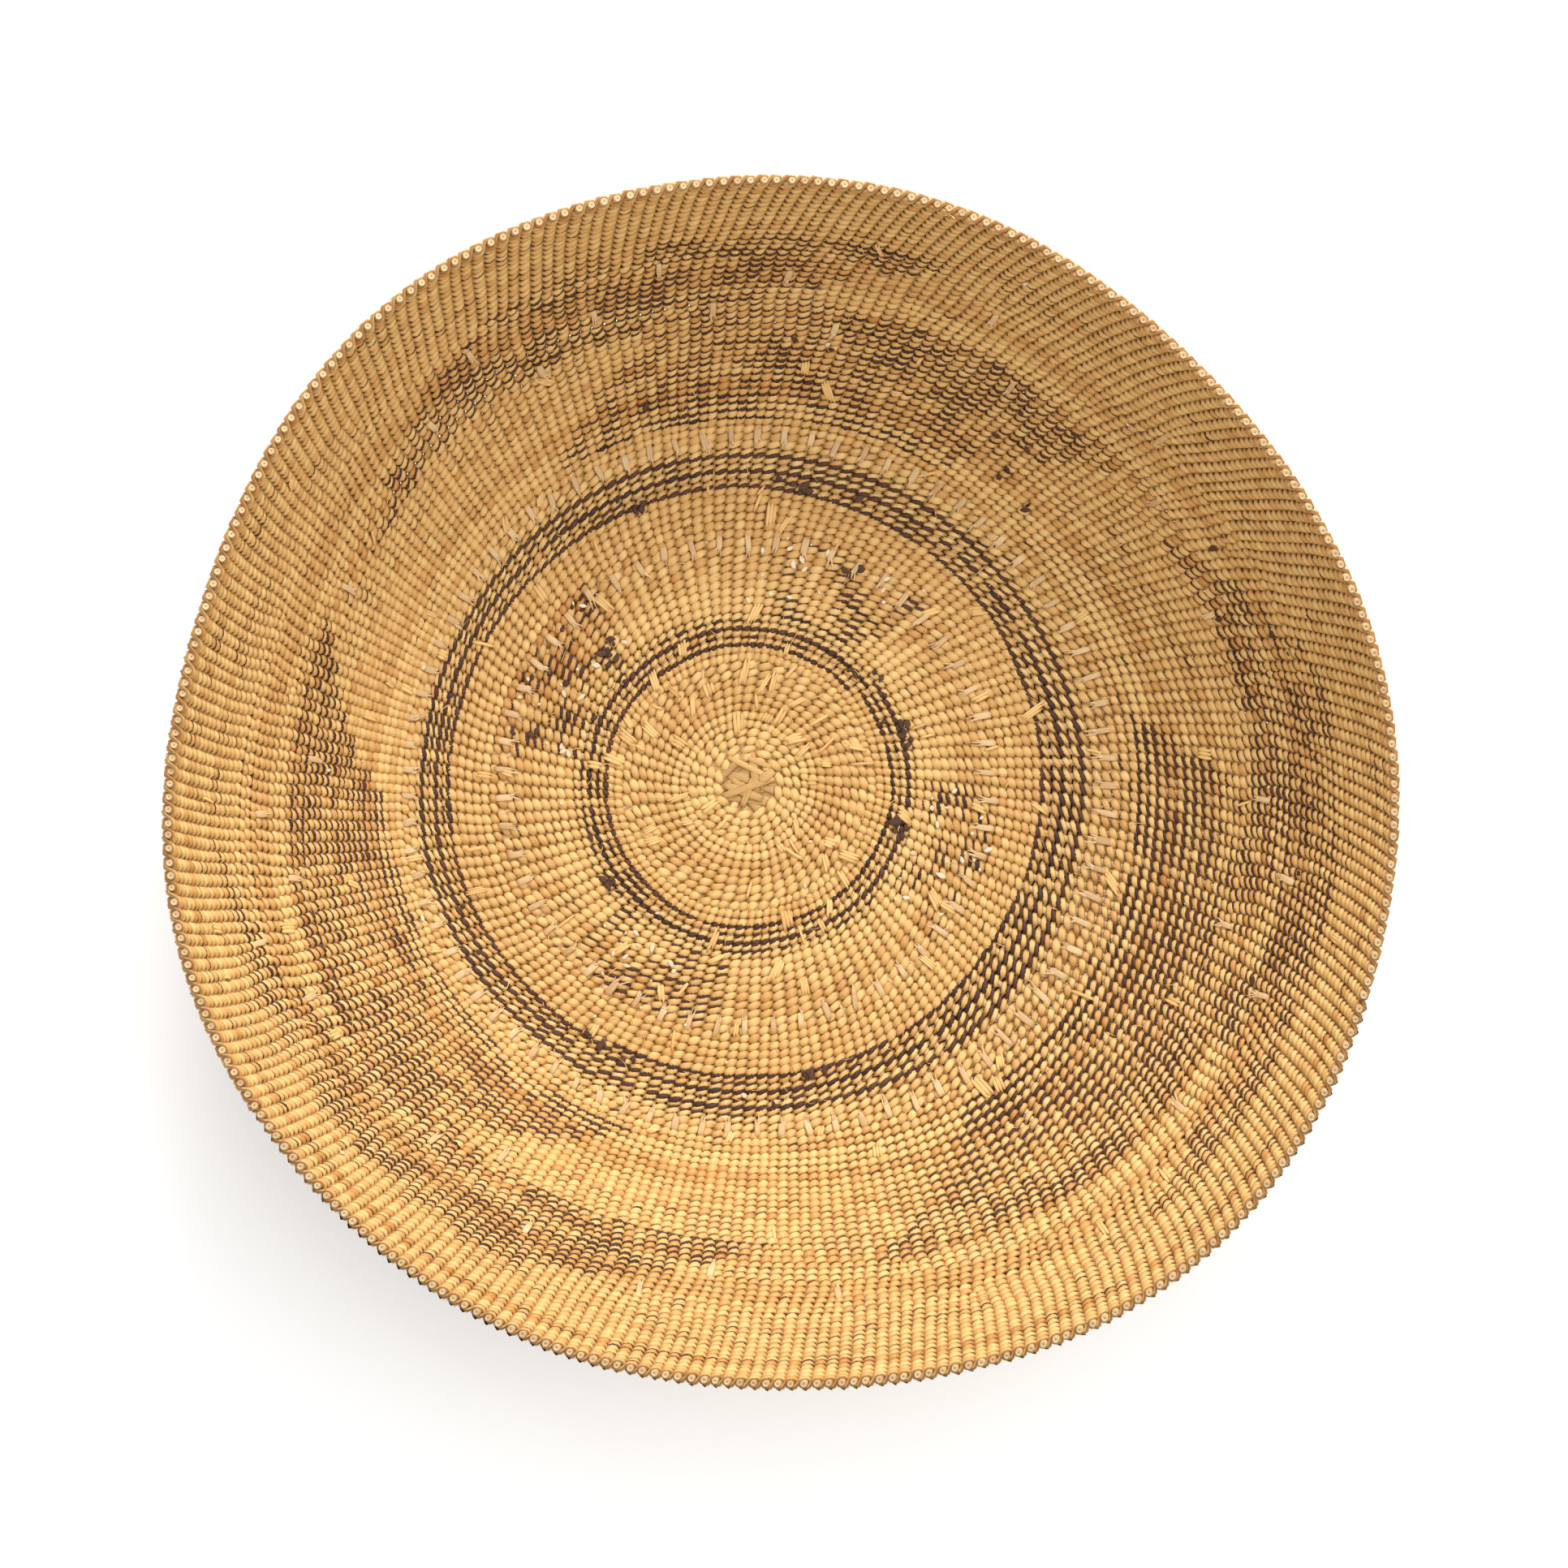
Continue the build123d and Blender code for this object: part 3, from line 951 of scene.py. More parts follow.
@dataclass
class WeftStrands:
    """The two split-root strands that twine around each other between the shoots.

    `inside`, `outside` and `hidden` are the places, in crossings, at which a stitch is drawn;
    an outer stitch under an overlay strip is a hidden one.
    """

    crossings: Crossings
    pattern: Pattern
    corners: int = 8
    inside: tuple[float, ...] = (-0.41, -0.22, 0.0, 0.22, 0.41)
    outside: tuple[float, ...] = (0.70, 1.0, 1.30)
    hidden: tuple[float, ...] = (0.72, 1.28)
    crest: float = 2.05 * MM
    fat_spread: float = 0.10
    lift_spread: float = 0.14 * MM
    rim_crossings: int = 300
    rim_fat: float = 1.08
    # A stitch leans by a share of its column's width, within limits.
    slant_share: float = 0.155
    slants: tuple[float, float] = (0.42 * MM, 0.80 * MM)
    # Start and end in millimetres along the fabric and extra tone of the browner rows.
    browner: tuple[tuple[float, float, float], ...] = ((169, 174, 0.22), (212, 217, 0.2), (228, 243, 0.16))
    rim_tone: float = 0.36

    def __post_init__(self) -> None:
        """Draws what differs from stitch to stitch."""
        size = self.crossings.size
        self.rng = np.random.default_rng(SEED + 1)
        self.fat = 1 + self.fat_spread * self.rng.standard_normal(size).clip(-2, 2)
        self.fat *= self.pattern.slim
        self.fat[-self.rim_crossings :] *= self.rim_fat
        self.lift = self.lift_spread * self.rng.standard_normal(size).clip(-2, 2)
        self.chance = self.rng.random(size)
        self.tones = [self._stretches(), self._stretches()]

    def _stretches(self) -> tuple[Array, Array]:
        """Draws the lengths of root that make up a strand.

        Returns:
            Tone and offset of the fibre at each crossing, both constant along one length.
        """
        tone = np.zeros(self.crossings.size)
        offset = np.zeros(self.crossings.size)
        place = 0
        while place < self.crossings.size:
            length = int(self.rng.integers(40, 260))
            tone[place : place + length] = np.clip(self.rng.normal(0.33, 0.21), 0.0, 0.95)
            offset[place : place + length] = self.rng.random() * 40
            place += length
        return tone, offset

    def samples(self, strand: int, first: int, last: int) -> Array:
        """Where a strand is drawn.

        Args:
            strand: 0 or 1.
            first: first crossing.
            last: one past the last crossing.

        Returns:
            Places, in crossings.
        """
        steps = []
        for crossing in range(first, last):
            if (crossing + strand) % 2 == 0:
                steps.extend(crossing + step for step in self.inside)
            else:
                outer = self.hidden if self.pattern.covered[crossing] else self.outside
                steps.extend(crossing - 1 + step for step in outer)
        return np.array(steps)

    def slant(self, where: Array) -> Array:
        """How far a stitch leans at places in crossings."""
        width = self.crossings.spread(self.crossings.width, where)
        return np.clip(self.slant_share * width, *self.slants)

    def path(self, strand: int, where: Array) -> tuple[Array, Array, Array, Array]:
        """Centre line of a strand.

        Args:
            strand: 0 or 1.
            where: places in crossings.

        Returns:
            Azimuth, distance along, depth and the crest wave, 1 inside and -1 outside.
        """
        crossings = self.crossings
        swing = np.cos(math.pi * (where - strand))
        across = np.sin(math.pi * (where - strand))
        turn = crossings.spread(crossings.turn, where)
        along = crossings.spread(crossings.along, where) - self.slant(where) * across
        depth = (self.crest + crossings.spread(self.lift, where)) * (1.38 * swing - 0.38 * swing**3)
        return turn, along, depth, swing

    def strand(self, sheets: Sheets, strand: int, first: int, last: int) -> None:
        """Adds one strand between two crossings.

        Args:
            sheets: the mesh to add to.
            strand: 0 or 1.
            first: first crossing.
            last: one past the last crossing.
        """
        where = self.samples(strand, first, last)
        where = np.concatenate([[first - 0.5], where, [last - 0.5]])
        turn, along, depth, swing = self.path(strand, where)
        point, _, outward, _ = self.crossings.layout.form.frames(turn, along, depth)
        crest = np.abs(swing)
        fat = self.crossings.spread(self.fat, where)
        wall = smooth((along - 130 * MM) / (30 * MM))
        half = self.crossings.pitch * (0.33 + (0.20 - 0.03 * wall) * crest**0.7) * fat
        thick = (0.95 - (0.16 - 0.22 * wall) * crest) * MM * fat
        grid = tube(point[None], outward[None], half[None], thick[None], self.corners)[0]
        near = np.clip(np.round(where).astype(int), 0, self.crossings.size - 1)
        tone, offset = self.tones[strand]
        tone = tone[near] + self.bands(along) + self.pattern.stain[near]
        corner = np.arange(self.corners) / self.corners * TURN
        # Painted shade: darker where the strand dives between the shoots and along its side seams between
        # rows, more so on the wall.
        seam_shade = np.cos(corner) ** 4 * (0.60 + 0.35 * wall[:, None])
        groove_shade = np.maximum(1 - crest[:, None], seam_shade)
        look = layered(grid, tone[:, None], self.chance[near][:, None], groove_shade)
        run = np.cumsum(np.linalg.norm(np.diff(point, axis=0, prepend=point[:1]), axis=1))
        fibre = np.sin(corner) * 5 + offset[near][:, None]
        grain = layered(grid, (run / MM * 0.22)[:, None], np.cos(corner) * 5, fibre)
        sheets.add(grid[None], look[None], grain[None])

    def bands(self, along: Array) -> Array:
        """Extra tone of the browner rows and the rim.

        Args:
            along: distances along the fabric.

        Returns:
            The extra tone.
        """
        extra = np.zeros_like(along)
        for start, end, amount in self.browner:
            inside = smooth((along - start * MM) / (2 * MM)) * smooth((end * MM - along) / (2 * MM))
            extra += amount * inside
        rim = self.crossings.layout.form.end - 10 * MM
        return extra + self.rim_tone * smooth((along - rim) / (7 * MM))

    def build(self, zone: Zone) -> list[bpy.types.Object]:
        """Builds the pieces of one zone.

        Args:
            zone: the zone.

        Returns:
            Its pieces, from the start outwards.
        """
        places = self.crossings.within(zone.start, zone.end)
        first, last = int(places[0]), int(places[-1]) + 1
        cuts = np.linspace(first, last, zone.parts + 1).astype(int)
        made = []
        for part, (low, high) in enumerate(zip(cuts, cuts[1:])):
            sheets = Sheets()
            for strand in (0, 1):
                self.strand(sheets, strand, low, high)
            suffix = f"_{part + 1}" if zone.parts > 1 else ""
            made.append(sheets.build(f"root_{zone.name}{suffix}"))
        return made


@dataclass
class Overlay:
    """Thin strips laid over the outer stitches, dark or pale, and their dark edges inside."""

    weft: WeftStrands
    steps: tuple[float, ...] = (-0.66, -0.42, -0.14, 0.14, 0.42, 0.66)
    corners: int = 4
    thickness: float = 0.32 * MM
    edge_steps: tuple[float, ...] = (-0.56, -0.28, 0.0, 0.28, 0.56)
    edge_corners: int = 6
    edge_thickness: float = 0.60 * MM
    least_mark: float = 0.05

    def __post_init__(self) -> None:
        """Draws the tone of each strip, alike for a few neighbours."""
        size = self.weft.crossings.size
        self.rng = np.random.default_rng(SEED + 2)
        self.chance = self.rng.random(size)
        self.tone = np.zeros(size)
        place = 0
        while place < size:
            length = int(self.rng.integers(6, 40))
            self.tone[place : place + length] = self.rng.beta(2, 3)
            place += length

    def strips(self, sheets: Sheets, chosen: Array) -> None:
        """Adds the strips over chosen outer stitches.

        Args:
            sheets: the mesh to add to.
            chosen: the crossings.
        """
        crossings = self.weft.crossings
        where = chosen[:, None] + np.array(self.steps)
        grids = np.empty((len(chosen), len(self.steps), self.corners, 3))
        for strand in (0, 1):
            mine = (chosen + strand) % 2 == 1
            if not mine.any():
                continue
            turn, along, depth, swing = self.weft.path(strand, where[mine])
            crest = np.abs(swing)
            thick = (0.95 - 0.20 * crest) * MM
            depth = depth - (thick + 0.06 * MM) * crest
            point, _, outward, _ = crossings.layout.form.frames(turn, along, depth)
            half = crossings.pitch * (0.43 + 0.08 * crest)
            half = half * (1 + 0.08 * (self.chance[chosen[mine]] - 0.5))[:, None]
            thin = np.full_like(half, self.thickness / 2)
            grids[mine] = tube(point, outward, half, thin, self.corners)
        # Painted shade at both ends of each strip, where it dives between stitches.
        swing = np.abs(np.cos(math.pi * np.array(self.steps)))
        self._add(sheets, grids, chosen, where, (1 - swing)[:, None], np.array([6.0, 0.0, -6.0, 0.0]))

    def _add(
        self, sheets: Sheets, grid: Array, chosen: Array, where: Array, groove_shade: Array | float, across: Array
    ) -> None:
        """Adds strips with their look.

        Args:
            sheets: the mesh to add to.
            grid: points of the strips.
            chosen: the crossing of each strip.
            where: place of each section, in crossings.
            groove_shade: how much painted shade each section gets, more the deeper it lies between
                stitches.
            across: place of each corner across the fibre.
        """
        tone, chance = self.tone[chosen][:, None, None], self.chance[chosen][:, None, None]
        run = (where * 0.6)[..., None]
        sheets.add(grid, layered(grid, tone, chance, groove_shade), layered(grid, run, across, chance * 50))

    def slivers(self, sheets: Sheets, chosen: Array) -> None:
        """Adds the dark edges that show inside, towards the start from each stitch.

        Args:
            sheets: the mesh to add to.
            chosen: the crossings that may show one.
        """
        crossings, rng = self.weft.crossings, self.rng
        pattern = self.weft.pattern
        chosen = chosen[rng.random(len(chosen)) < 0.15 + pattern.mark[chosen]]
        mark = pattern.mark[chosen][:, None]
        shift = rng.normal(0, 0.05, len(chosen))[:, None]
        reach = (0.62 + 0.32 * mark) * rng.uniform(0.85, 1.1, len(chosen))[:, None]
        where = chosen[:, None] + np.array(self.edge_steps) * reach + shift
        turn = crossings.spread(crossings.turn, where)
        along = crossings.spread(crossings.along, where)
        bow = np.cos(math.pi * (where - chosen[:, None]) * 0.86)
        across = np.sin(math.pi * (where - chosen[:, None]))
        slim = pattern.slim[chosen][:, None]
        along = along - self.weft.slant(where) * across - crossings.pitch * (0.50 - 0.02 * bow)
        depth = (1.1 + (0.95 + 0.55 * mark) * bow) * MM
        point, _, outward, _ = crossings.layout.form.frames(turn, along, depth)
        wide = 0.36 + 0.46 * mark + 1.25 * (1 - slim)
        wide = wide * rng.uniform(0.8, 1.15, len(chosen))[:, None]
        half = wide * MM * (0.45 + 0.55 * bow)
        grid = tube(point, outward, half, np.full_like(half, self.edge_thickness / 2), self.edge_corners)
        corner = np.arange(self.edge_corners) / self.edge_corners * TURN
        self._add(sheets, grid, chosen, where, 0.0, np.cos(corner) * 4)

    def build(self, name: str, start: float, end: float, dark: bool) -> bpy.types.Object:
        """Builds one piece.

        Args:
            name: its name.
            start: distance along the fabric where it begins.
            end: distance where it ends.
            dark: whether it holds the dark strips or the pale ones.

        Returns:
            The piece.
        """
        pattern = self.weft.pattern
        places = self.weft.crossings.within(start, end)
        sheets = Sheets()
        self.strips(sheets, places[pattern.covered[places] & (pattern.dark[places] == dark)])
        marked = places[pattern.mark[places] > self.least_mark]
        if dark and len(marked):
            self.slivers(sheets, marked)
        return sheets.build(name)


# ---------------------------------------------------------------------------------- shoots


@dataclass(frozen=True)
class Splint:
    """Look and section of one flat strip of fibre."""

    width: float
    thickness: float = 0.35 * MM
    tone: float = 0.3
    chance: float = 0.5
    taper: tuple[float, ...] = (0.8, 1.0, 1.0, 0.85)
    corners: int = 8

    def lay(self, sheets: Sheets, path: Array, side: Array) -> None:
        """Adds the strip along a path.

        Args:
            sheets: the mesh to add to.
            path: centre points of the strip.
            side: direction of its width at each point.
        """
        count = len(path)
        share = np.interp(np.linspace(0, 1, count), np.linspace(0, 1, len(self.taper)), self.taper)
        half = self.width / 2 * share
        thick = np.full(count, self.thickness / 2)
        grid = tube(path[None], side[None], half[None], thick[None], self.corners)
        run = np.cumsum(np.linalg.norm(np.diff(path, axis=0, prepend=path[:1]), axis=1)) / MM
        corner = np.arange(self.corners) / self.corners * TURN
        across = np.cos(corner) * self.width / MM * 2.2
        grain = layered(grid, run[None, :, None] * 0.2, across, self.chance * 60)
        sheets.add(grid, layered(grid, self.tone, self.chance, 0.0), grain, cap=True)


@dataclass
class Shoots:
    """The shoots of one round, from where they enter the fabric to their cut tips."""

    layout: WarpLayout
    corners: int = 10
    radius: float = 1.4 * MM
    section_every: float = 5 * MM
    # Share of the radius, rise in millimetres, tone and painted shade of each ring of the cut tip.
    tip: tuple[tuple[float, float, float, float], ...] = (
        (0.95, 0.12, 0.35, 0.25),
        (0.78, 0.20, 0.0, 0.0),
        (0.70, 0.14, 0.5, 0.45),
        (0.34, 0.16, 0.05, 0.0),
        (0.20, 0.02, 0.8, 0.9),
    )
    # Painted shade at the edge of the cut tip.
    edge_shade: float = 0.5

    def __post_init__(self) -> None:
        """Seeds the small differences between shoots."""
        self.rng = np.random.default_rng(SEED + 3)

    def build(self, name: str) -> bpy.types.Object:
        """Builds one round of shoots.

        Args:
            name: the round's name.

        Returns:
            The piece.
        """
        sheets = Sheets()
        layout = self.layout
        for column in range(layout.count):
            if layout.names[column] != name:
                continue
            self._shoot(sheets, column)
            if name in ("third", "fourth") or (name == "rim" and self.rng.random() < 0.5):
                self._foot(sheets, column)
        return sheets.build(f"shoots_{name}")

    def _shoot(self, sheets: Sheets, column: int) -> None:
        """Adds one shoot, which ends in a cut tip with its ring and pith.

        Args:
            sheets: the mesh to add to.
            column: index of the shoot around the basket.
        """
        layout, form, rng = self.layout, self.layout.form, self.rng
        entry = layout.entry[column]
        tip = form.end + rng.uniform(-1.0, 0.1) * MM
        count = max(6, int((tip - entry) / self.section_every))
        along = np.linspace(entry, tip, count)
        turn = layout.at(np.full(count, column), along)
        size = np.full(count, self.radius * rng.uniform(0.93, 1.07))
        point, around, _, _ = form.frames(turn, along, np.zeros(count))
        grid = tube(point[None], around[None], size[None], size[None], self.corners)
        middle = point[-1]
        edge = grid[:, -1:]
        run = point[-1] - point[-2]
        run = run / np.linalg.norm(run)
        shares, rises, tones, tip_shades = np.array(self.tip).T
        rings = [middle + (edge - middle) * share + run * rise * MM for share, rise in zip(shares, rises)]
        grid = np.concatenate([grid] + rings, axis=1)
        look = layered(grid, rng.beta(2, 3), rng.random(), 0.0)
        look[0, -len(tones) :, :, 0] = tones[:, None] + rng.normal(0, 0.1)
        # Painted shade on the cut tip: its edge, its outer ring, the lower ring at 0.70 of the radius and
        # the pit in its middle darken towards the shade colour.
        look[0, -len(tones) - 1 :, :, 2] = np.append(self.edge_shade, tip_shades)[:, None]
        angle = np.arange(self.corners) / self.corners * TURN
        run = np.arange(grid.shape[1])[:, None]
        grain = layered(grid, run, np.cos(angle) * 3, np.sin(angle) * 3 + rng.random() * 40)
        sheets.add(grid, look, grain, cap=True)

    def _foot(self, sheets: Sheets, column: int) -> None:
        """Adds the split foot of an added shoot, which lies inside over a few stitches.

        Args:
            sheets: the mesh to add to.
            column: index of the shoot around the basket.
        """
        layout, form, rng = self.layout, self.layout.form, self.rng
        entry = layout.entry[column]
        foot_turn = float(layout.at(np.array([column]), np.array([entry + 2 * MM]))[0])
        radius = float(np.interp(entry, layout.grid, form.radius(layout.grid)))
        reach = rng.uniform(3.2, 5.2) * MM
        width = rng.uniform(2.3, 3.2) * MM
        lean = rng.normal(0.05, 0.1)
        along = entry + 2.4 * MM - np.linspace(0, 1, 6) * (reach + 2.4 * MM)
        turn = foot_turn + lean * (entry - along) / radius
        depth = np.array([2.3, 3.0, 3.25, 3.35, 3.3, 3.0]) * MM
        point, around, _, _ = form.frames(turn, along, depth)
        tone = tone_near(rng, 0.36, 0.14)
        foot = Splint(width, 0.5 * MM, tone, float(rng.random()), (0.85, 1.0, 1.0, 0.9))
        foot.lay(sheets, point, around)
        for _ in range(rng.integers(4, 8)):
            length = rng.uniform(1.5, 5.0) * MM
            share = np.linspace(0, 1, 5)
            run = entry - reach + 1.2 * MM - share * length
            start = rng.uniform(-0.42, 0.42) * width
            fan = rng.normal(0, 0.30) * length
            curl = rng.normal(0, 0.3) * MM
            turn = foot_turn + (lean * (entry - run) + start + fan * share + curl * share**2) / radius
            depth = (3.35 + rng.uniform(-0.7, 0.5) * share) * MM
            point, around, _, _ = form.frames(turn, run, depth)
            tone = tone_near(rng, 0.05, 0.12)
            wide = rng.uniform(0.25, 0.8) * MM
            strand = Splint(wide, 0.28 * MM, tone, float(rng.random()), (1.0, 0.9, 0.5))
            strand.lay(sheets, point, around)


@dataclass
class Start:
    """The middle of the base, where flat sticks cross under the first weft rows.

    Each layer lists the heading in degrees, then the sideways offset, both ends and the width of
    its strips in millimetres.
    """

    lower: tuple[tuple[float, ...], ...] = (
        (12, -3.4, -20.0, 20.0, 3.4),
        (38, 4.8, -19.0, 20.0, 3.0),
        (68, 1.5, -20.0, 20.0, 3.4),
        (96, -3.8, -20.0, 19.0, 3.2),
        (128, 3.0, -20.0, 20.0, 3.4),
        (158, -1.5, -19.0, 20.0, 3.0),
        (172, 6.6, -17.0, 17.0, 3.0),
    )
    bed_offsets: tuple[float, ...] = (-13, -9.7, -6.4, -3.2, 0, 3.3, 6.5, 9.8, 13)
    bed_strip: tuple[float, float, float, float] = (24, -17.0, 17.0, 3.9)
    upper: tuple[tuple[float, ...], ...] = (
        (44, 9.6, -8.0, 9.5, 3.2),
        (160, 3.6, -8.5, 9.0, 3.8),
        (97, -3.9, -4.0, 13.2, 3.8),
        (68, -1.8, -9.5, 5.0, 3.0),
        (19, -1.6, -11.5, 11.8, 3.3),
        (154, -6.8, -8.0, 12.0, 2.6),
        (158, -10.4, -7.0, 4.0, 2.3),
        (38, -2.6, 5.0, 12.5, 4.0),
    )

    thickness: float = 0.75 * MM
    taper: tuple[float, ...] = (0.75, 1.0, 1.0, 1.0, 0.7)

    def __post_init__(self) -> None:
        """Seeds the small differences between strips."""
        self.rng = np.random.default_rng(SEED + 5)

    def bed(self) -> tuple[tuple[float, ...], ...]:
        """Parallel strips that close the gaps of the lower layer."""
        heading, first, last, width = self.bed_strip
        return tuple((heading, offset, first, last, width) for offset in self.bed_offsets)

    def strips(self, name: str, rows: Sequence[tuple[float, ...]], level: float) -> bpy.types.Object:
        """Builds one layer of crossing strips.

        Args:
            name: name of the piece.
            rows: heading, offset, both ends and width of each strip.
            level: height of the layer above the ground.

        Returns:
            The piece.
        """
        sheets = Sheets()
        for order, (heading, offset, first, last, width) in enumerate(rows):
            angle = math.radians(heading)
            along = np.array([math.cos(angle), math.sin(angle), 0.0])
            across = np.array([-math.sin(angle), math.cos(angle), 0.0])
            run = np.linspace(first, last, 9)
            swell = 0.5 * np.sin(np.linspace(0, math.pi, 9)) + 0.10 * order
            path = (along * run[:, None] + across * offset) * MM
            path[:, 2] = level + swell * MM
            tone = tone_near(self.rng, 0.38, 0.12)
            splint = Splint(width * MM, self.thickness, tone, float(self.rng.random()), self.taper)
            splint.lay(sheets, path, np.broadcast_to(across, path.shape).copy())
        return sheets.build(name)


@dataclass
class Litter:
    """Loose splints, frayed fibres and bits of husk caught in the weave."""

    layout: WarpLayout
    # How many splints, and the distances in millimetres between which they lie.
    splint_spots: tuple[tuple[int, float, float], ...] = (
        (46, 18, 60),
        (44, 60, 128),
        (18, 144, 160),
        (26, 160, 280),
    )
    fibre_count: int = 620
    tuft_turn: float = math.radians(70.5)
    tuft_count: int = 9
    rim_ends: int = 46

    def __post_init__(self) -> None:
        """Seeds the scatter."""
        self.form = self.layout.form
        self.rng = np.random.default_rng(SEED + 6)
        self.radii = self.form.radius(self.layout.grid)

    def _radius(self, along: float) -> float:
        """Mean radius at a distance along the fabric, but no less than 10 mm."""
        return max(float(np.interp(along, self.layout.grid, self.radii)), 10 * MM)

    def _path(
        self, turn: float, along: float, heading: float, length: float, depth: Array
    ) -> tuple[Array, Array]:
        """Path of a short piece lying on the inside of the bowl.

        Args:
            turn: azimuth of its middle.
            along: distance along the fabric of its middle.
            heading: its direction, 0 outwards and a quarter turn around the basket.
            length: its length.
            depth: distance of each of its points from the middle surface.

        Returns:
            Its points and the direction of its width at each.
        """
        share = np.linspace(-0.5, 0.5, len(depth)) * length
        turns = turn + share * math.sin(heading) / self._radius(along)
        along_path = along + share * math.cos(heading)
        point, around, outward, _ = self.form.frames(turns, along_path, depth)
        side = around * math.cos(heading) - outward * math.sin(heading)
        return point, side

    def splints(self) -> bpy.types.Object:
        """Lets flat splints in over the weft, mostly in the base.

        Returns:
            The piece.
        """
        sheets = Sheets()
        rng = self.rng
        spots = [
            (rng.uniform(0, TURN), rng.uniform(near, far) * MM)
            for count, near, far in self.splint_spots
            for _ in range(count)
        ]
        for turn, along in spots:
            heading = rng.normal(-0.12, 0.30)
            slats = int(rng.integers(1, 4))
            width = rng.uniform(1.0, 1.7) * MM
            tone = tone_near(rng, 0.12, 0.14)
            length = rng.uniform(5.0, 11.0) * MM
            for slat in range(slats):
                ends = rng.uniform(-0.9, 0.9, 2)
                level = rng.uniform(-0.12, 0.12)
                depth = np.array([2.5 + ends[0], 3.2, 3.4, 3.4, 3.2, 2.7 + ends[1]]) * MM + level * MM
                shift = (slat - (slats - 1) / 2) * width * 0.93
                slat_turn = turn + shift / self._radius(along)
                slat_length = length * rng.uniform(0.75, 1.1)
                point, side = self._path(slat_turn, along, heading, slat_length, depth)
                taper = (float(rng.uniform(0.3, 0.9)), 1.0, 1.0, 1.0, float(rng.uniform(0.3, 0.9)))
                Splint(width, 0.45 * MM, tone, float(rng.random()), taper).lay(sheets, point, side)
        return sheets.build("loose_splints")

    def fibres(self) -> bpy.types.Object:
        """Frays thin fibres that stand off the weave a little.

        Returns:
            The piece.
        """
        sheets = Sheets()
        rng = self.rng
        for _ in range(self.fibre_count):
            turn = rng.uniform(0, TURN)
            along = rng.triangular(14, 120, 296) * MM
            length = rng.uniform(2.0, 8.0) * MM
            rise = rng.uniform(0.1, 1.2)
            share = np.linspace(0, 1, 6)
            depth = (2.7 + 0.35 * np.sin(share * math.pi) + rise * share**2) * MM
            point, side = self._path(turn, along, rng.uniform(0, TURN), length, depth)
            curl = rng.normal(0, 0.10) * length
            point = point + side * (curl * np.sin(share * math.pi))[:, None]
            tone = tone_near(rng, 0.1, 0.15)
            width = rng.uniform(0.16, 0.42) * MM
            fibre = Splint(width, 0.2 * MM, tone, float(rng.random()), (1.0, 0.9, 0.6, 0.25))
            fibre.lay(sheets, point, side)
        return sheets.build("frayed_fibres")

    def rim_fray(self) -> bpy.types.Object:
        """Frays a tuft of weft at the rim, and a few short ends elsewhere on it.

        Returns:
            The piece.
        """
        sheets = Sheets()
        rng = self.rng
        spots = [(self.tuft_turn + rng.normal(0, 0.006), 1.0) for _ in range(self.tuft_count)]
        spots += [(rng.uniform(0, TURN), 0.45) for _ in range(self.rim_ends)]
        for turn, size in spots:
            length = rng.uniform(2.5, 7.0) * size * MM
            along = self.form.end - rng.uniform(1.0, 6.0) * MM
            depth = (2.2 + rng.uniform(0.2, 1.2) * np.linspace(0, 1, 5) ** 2) * MM
            point, side = self._path(turn, along, rng.normal(0, 0.9), length, depth)
            width = rng.uniform(0.3, 1.2) * MM
            end = Splint(width, 0.3 * MM, 0.05, float(rng.random()), (1.0, 0.9, 0.4))
            end.lay(sheets, point, side)
        return sheets.build("rim_fray")

    def flakes(
        self, name: str, count: int, sizes: tuple[float, float], spans: Sequence[tuple[float, ...]]
    ) -> bpy.types.Object:
        """Scatters small curved flakes on the weave.

        Args:
            name: name of the piece.
            count: how many.
            sizes: least and greatest width, millimetres.
            spans: azimuths in degrees and distances in millimetres between which they lie.

        Returns:
            The piece.
        """
        sheets = Sheets()
        rng = self.rng
        for index in range(count):
            first, last, near, far = spans[index % len(spans)]
            turn = math.radians(rng.uniform(first, last))
            width = rng.uniform(*sizes) * MM
            base = rng.uniform(2.85, 3.25)
            arch = 0.25 * np.sin(np.linspace(0, math.pi, 5))
            depth = (base + arch + rng.normal(0, 0.2) * np.linspace(0, 1, 5)) * MM
            length = width * rng.uniform(1.0, 2.2)
            along = rng.uniform(near, far) * MM
            point, side = self._path(turn, along, rng.uniform(0, TURN), length, depth)
            taper = (0.15, 0.85, 1.0, 0.7, 0.12)
            flake = Splint(width, 0.22 * MM, float(rng.beta(1.5, 3)), float(rng.random()), taper)
            flake.lay(sheets, point, side)
        return sheets.build(name)


# ---------------------------------------------------------------------------------- studio


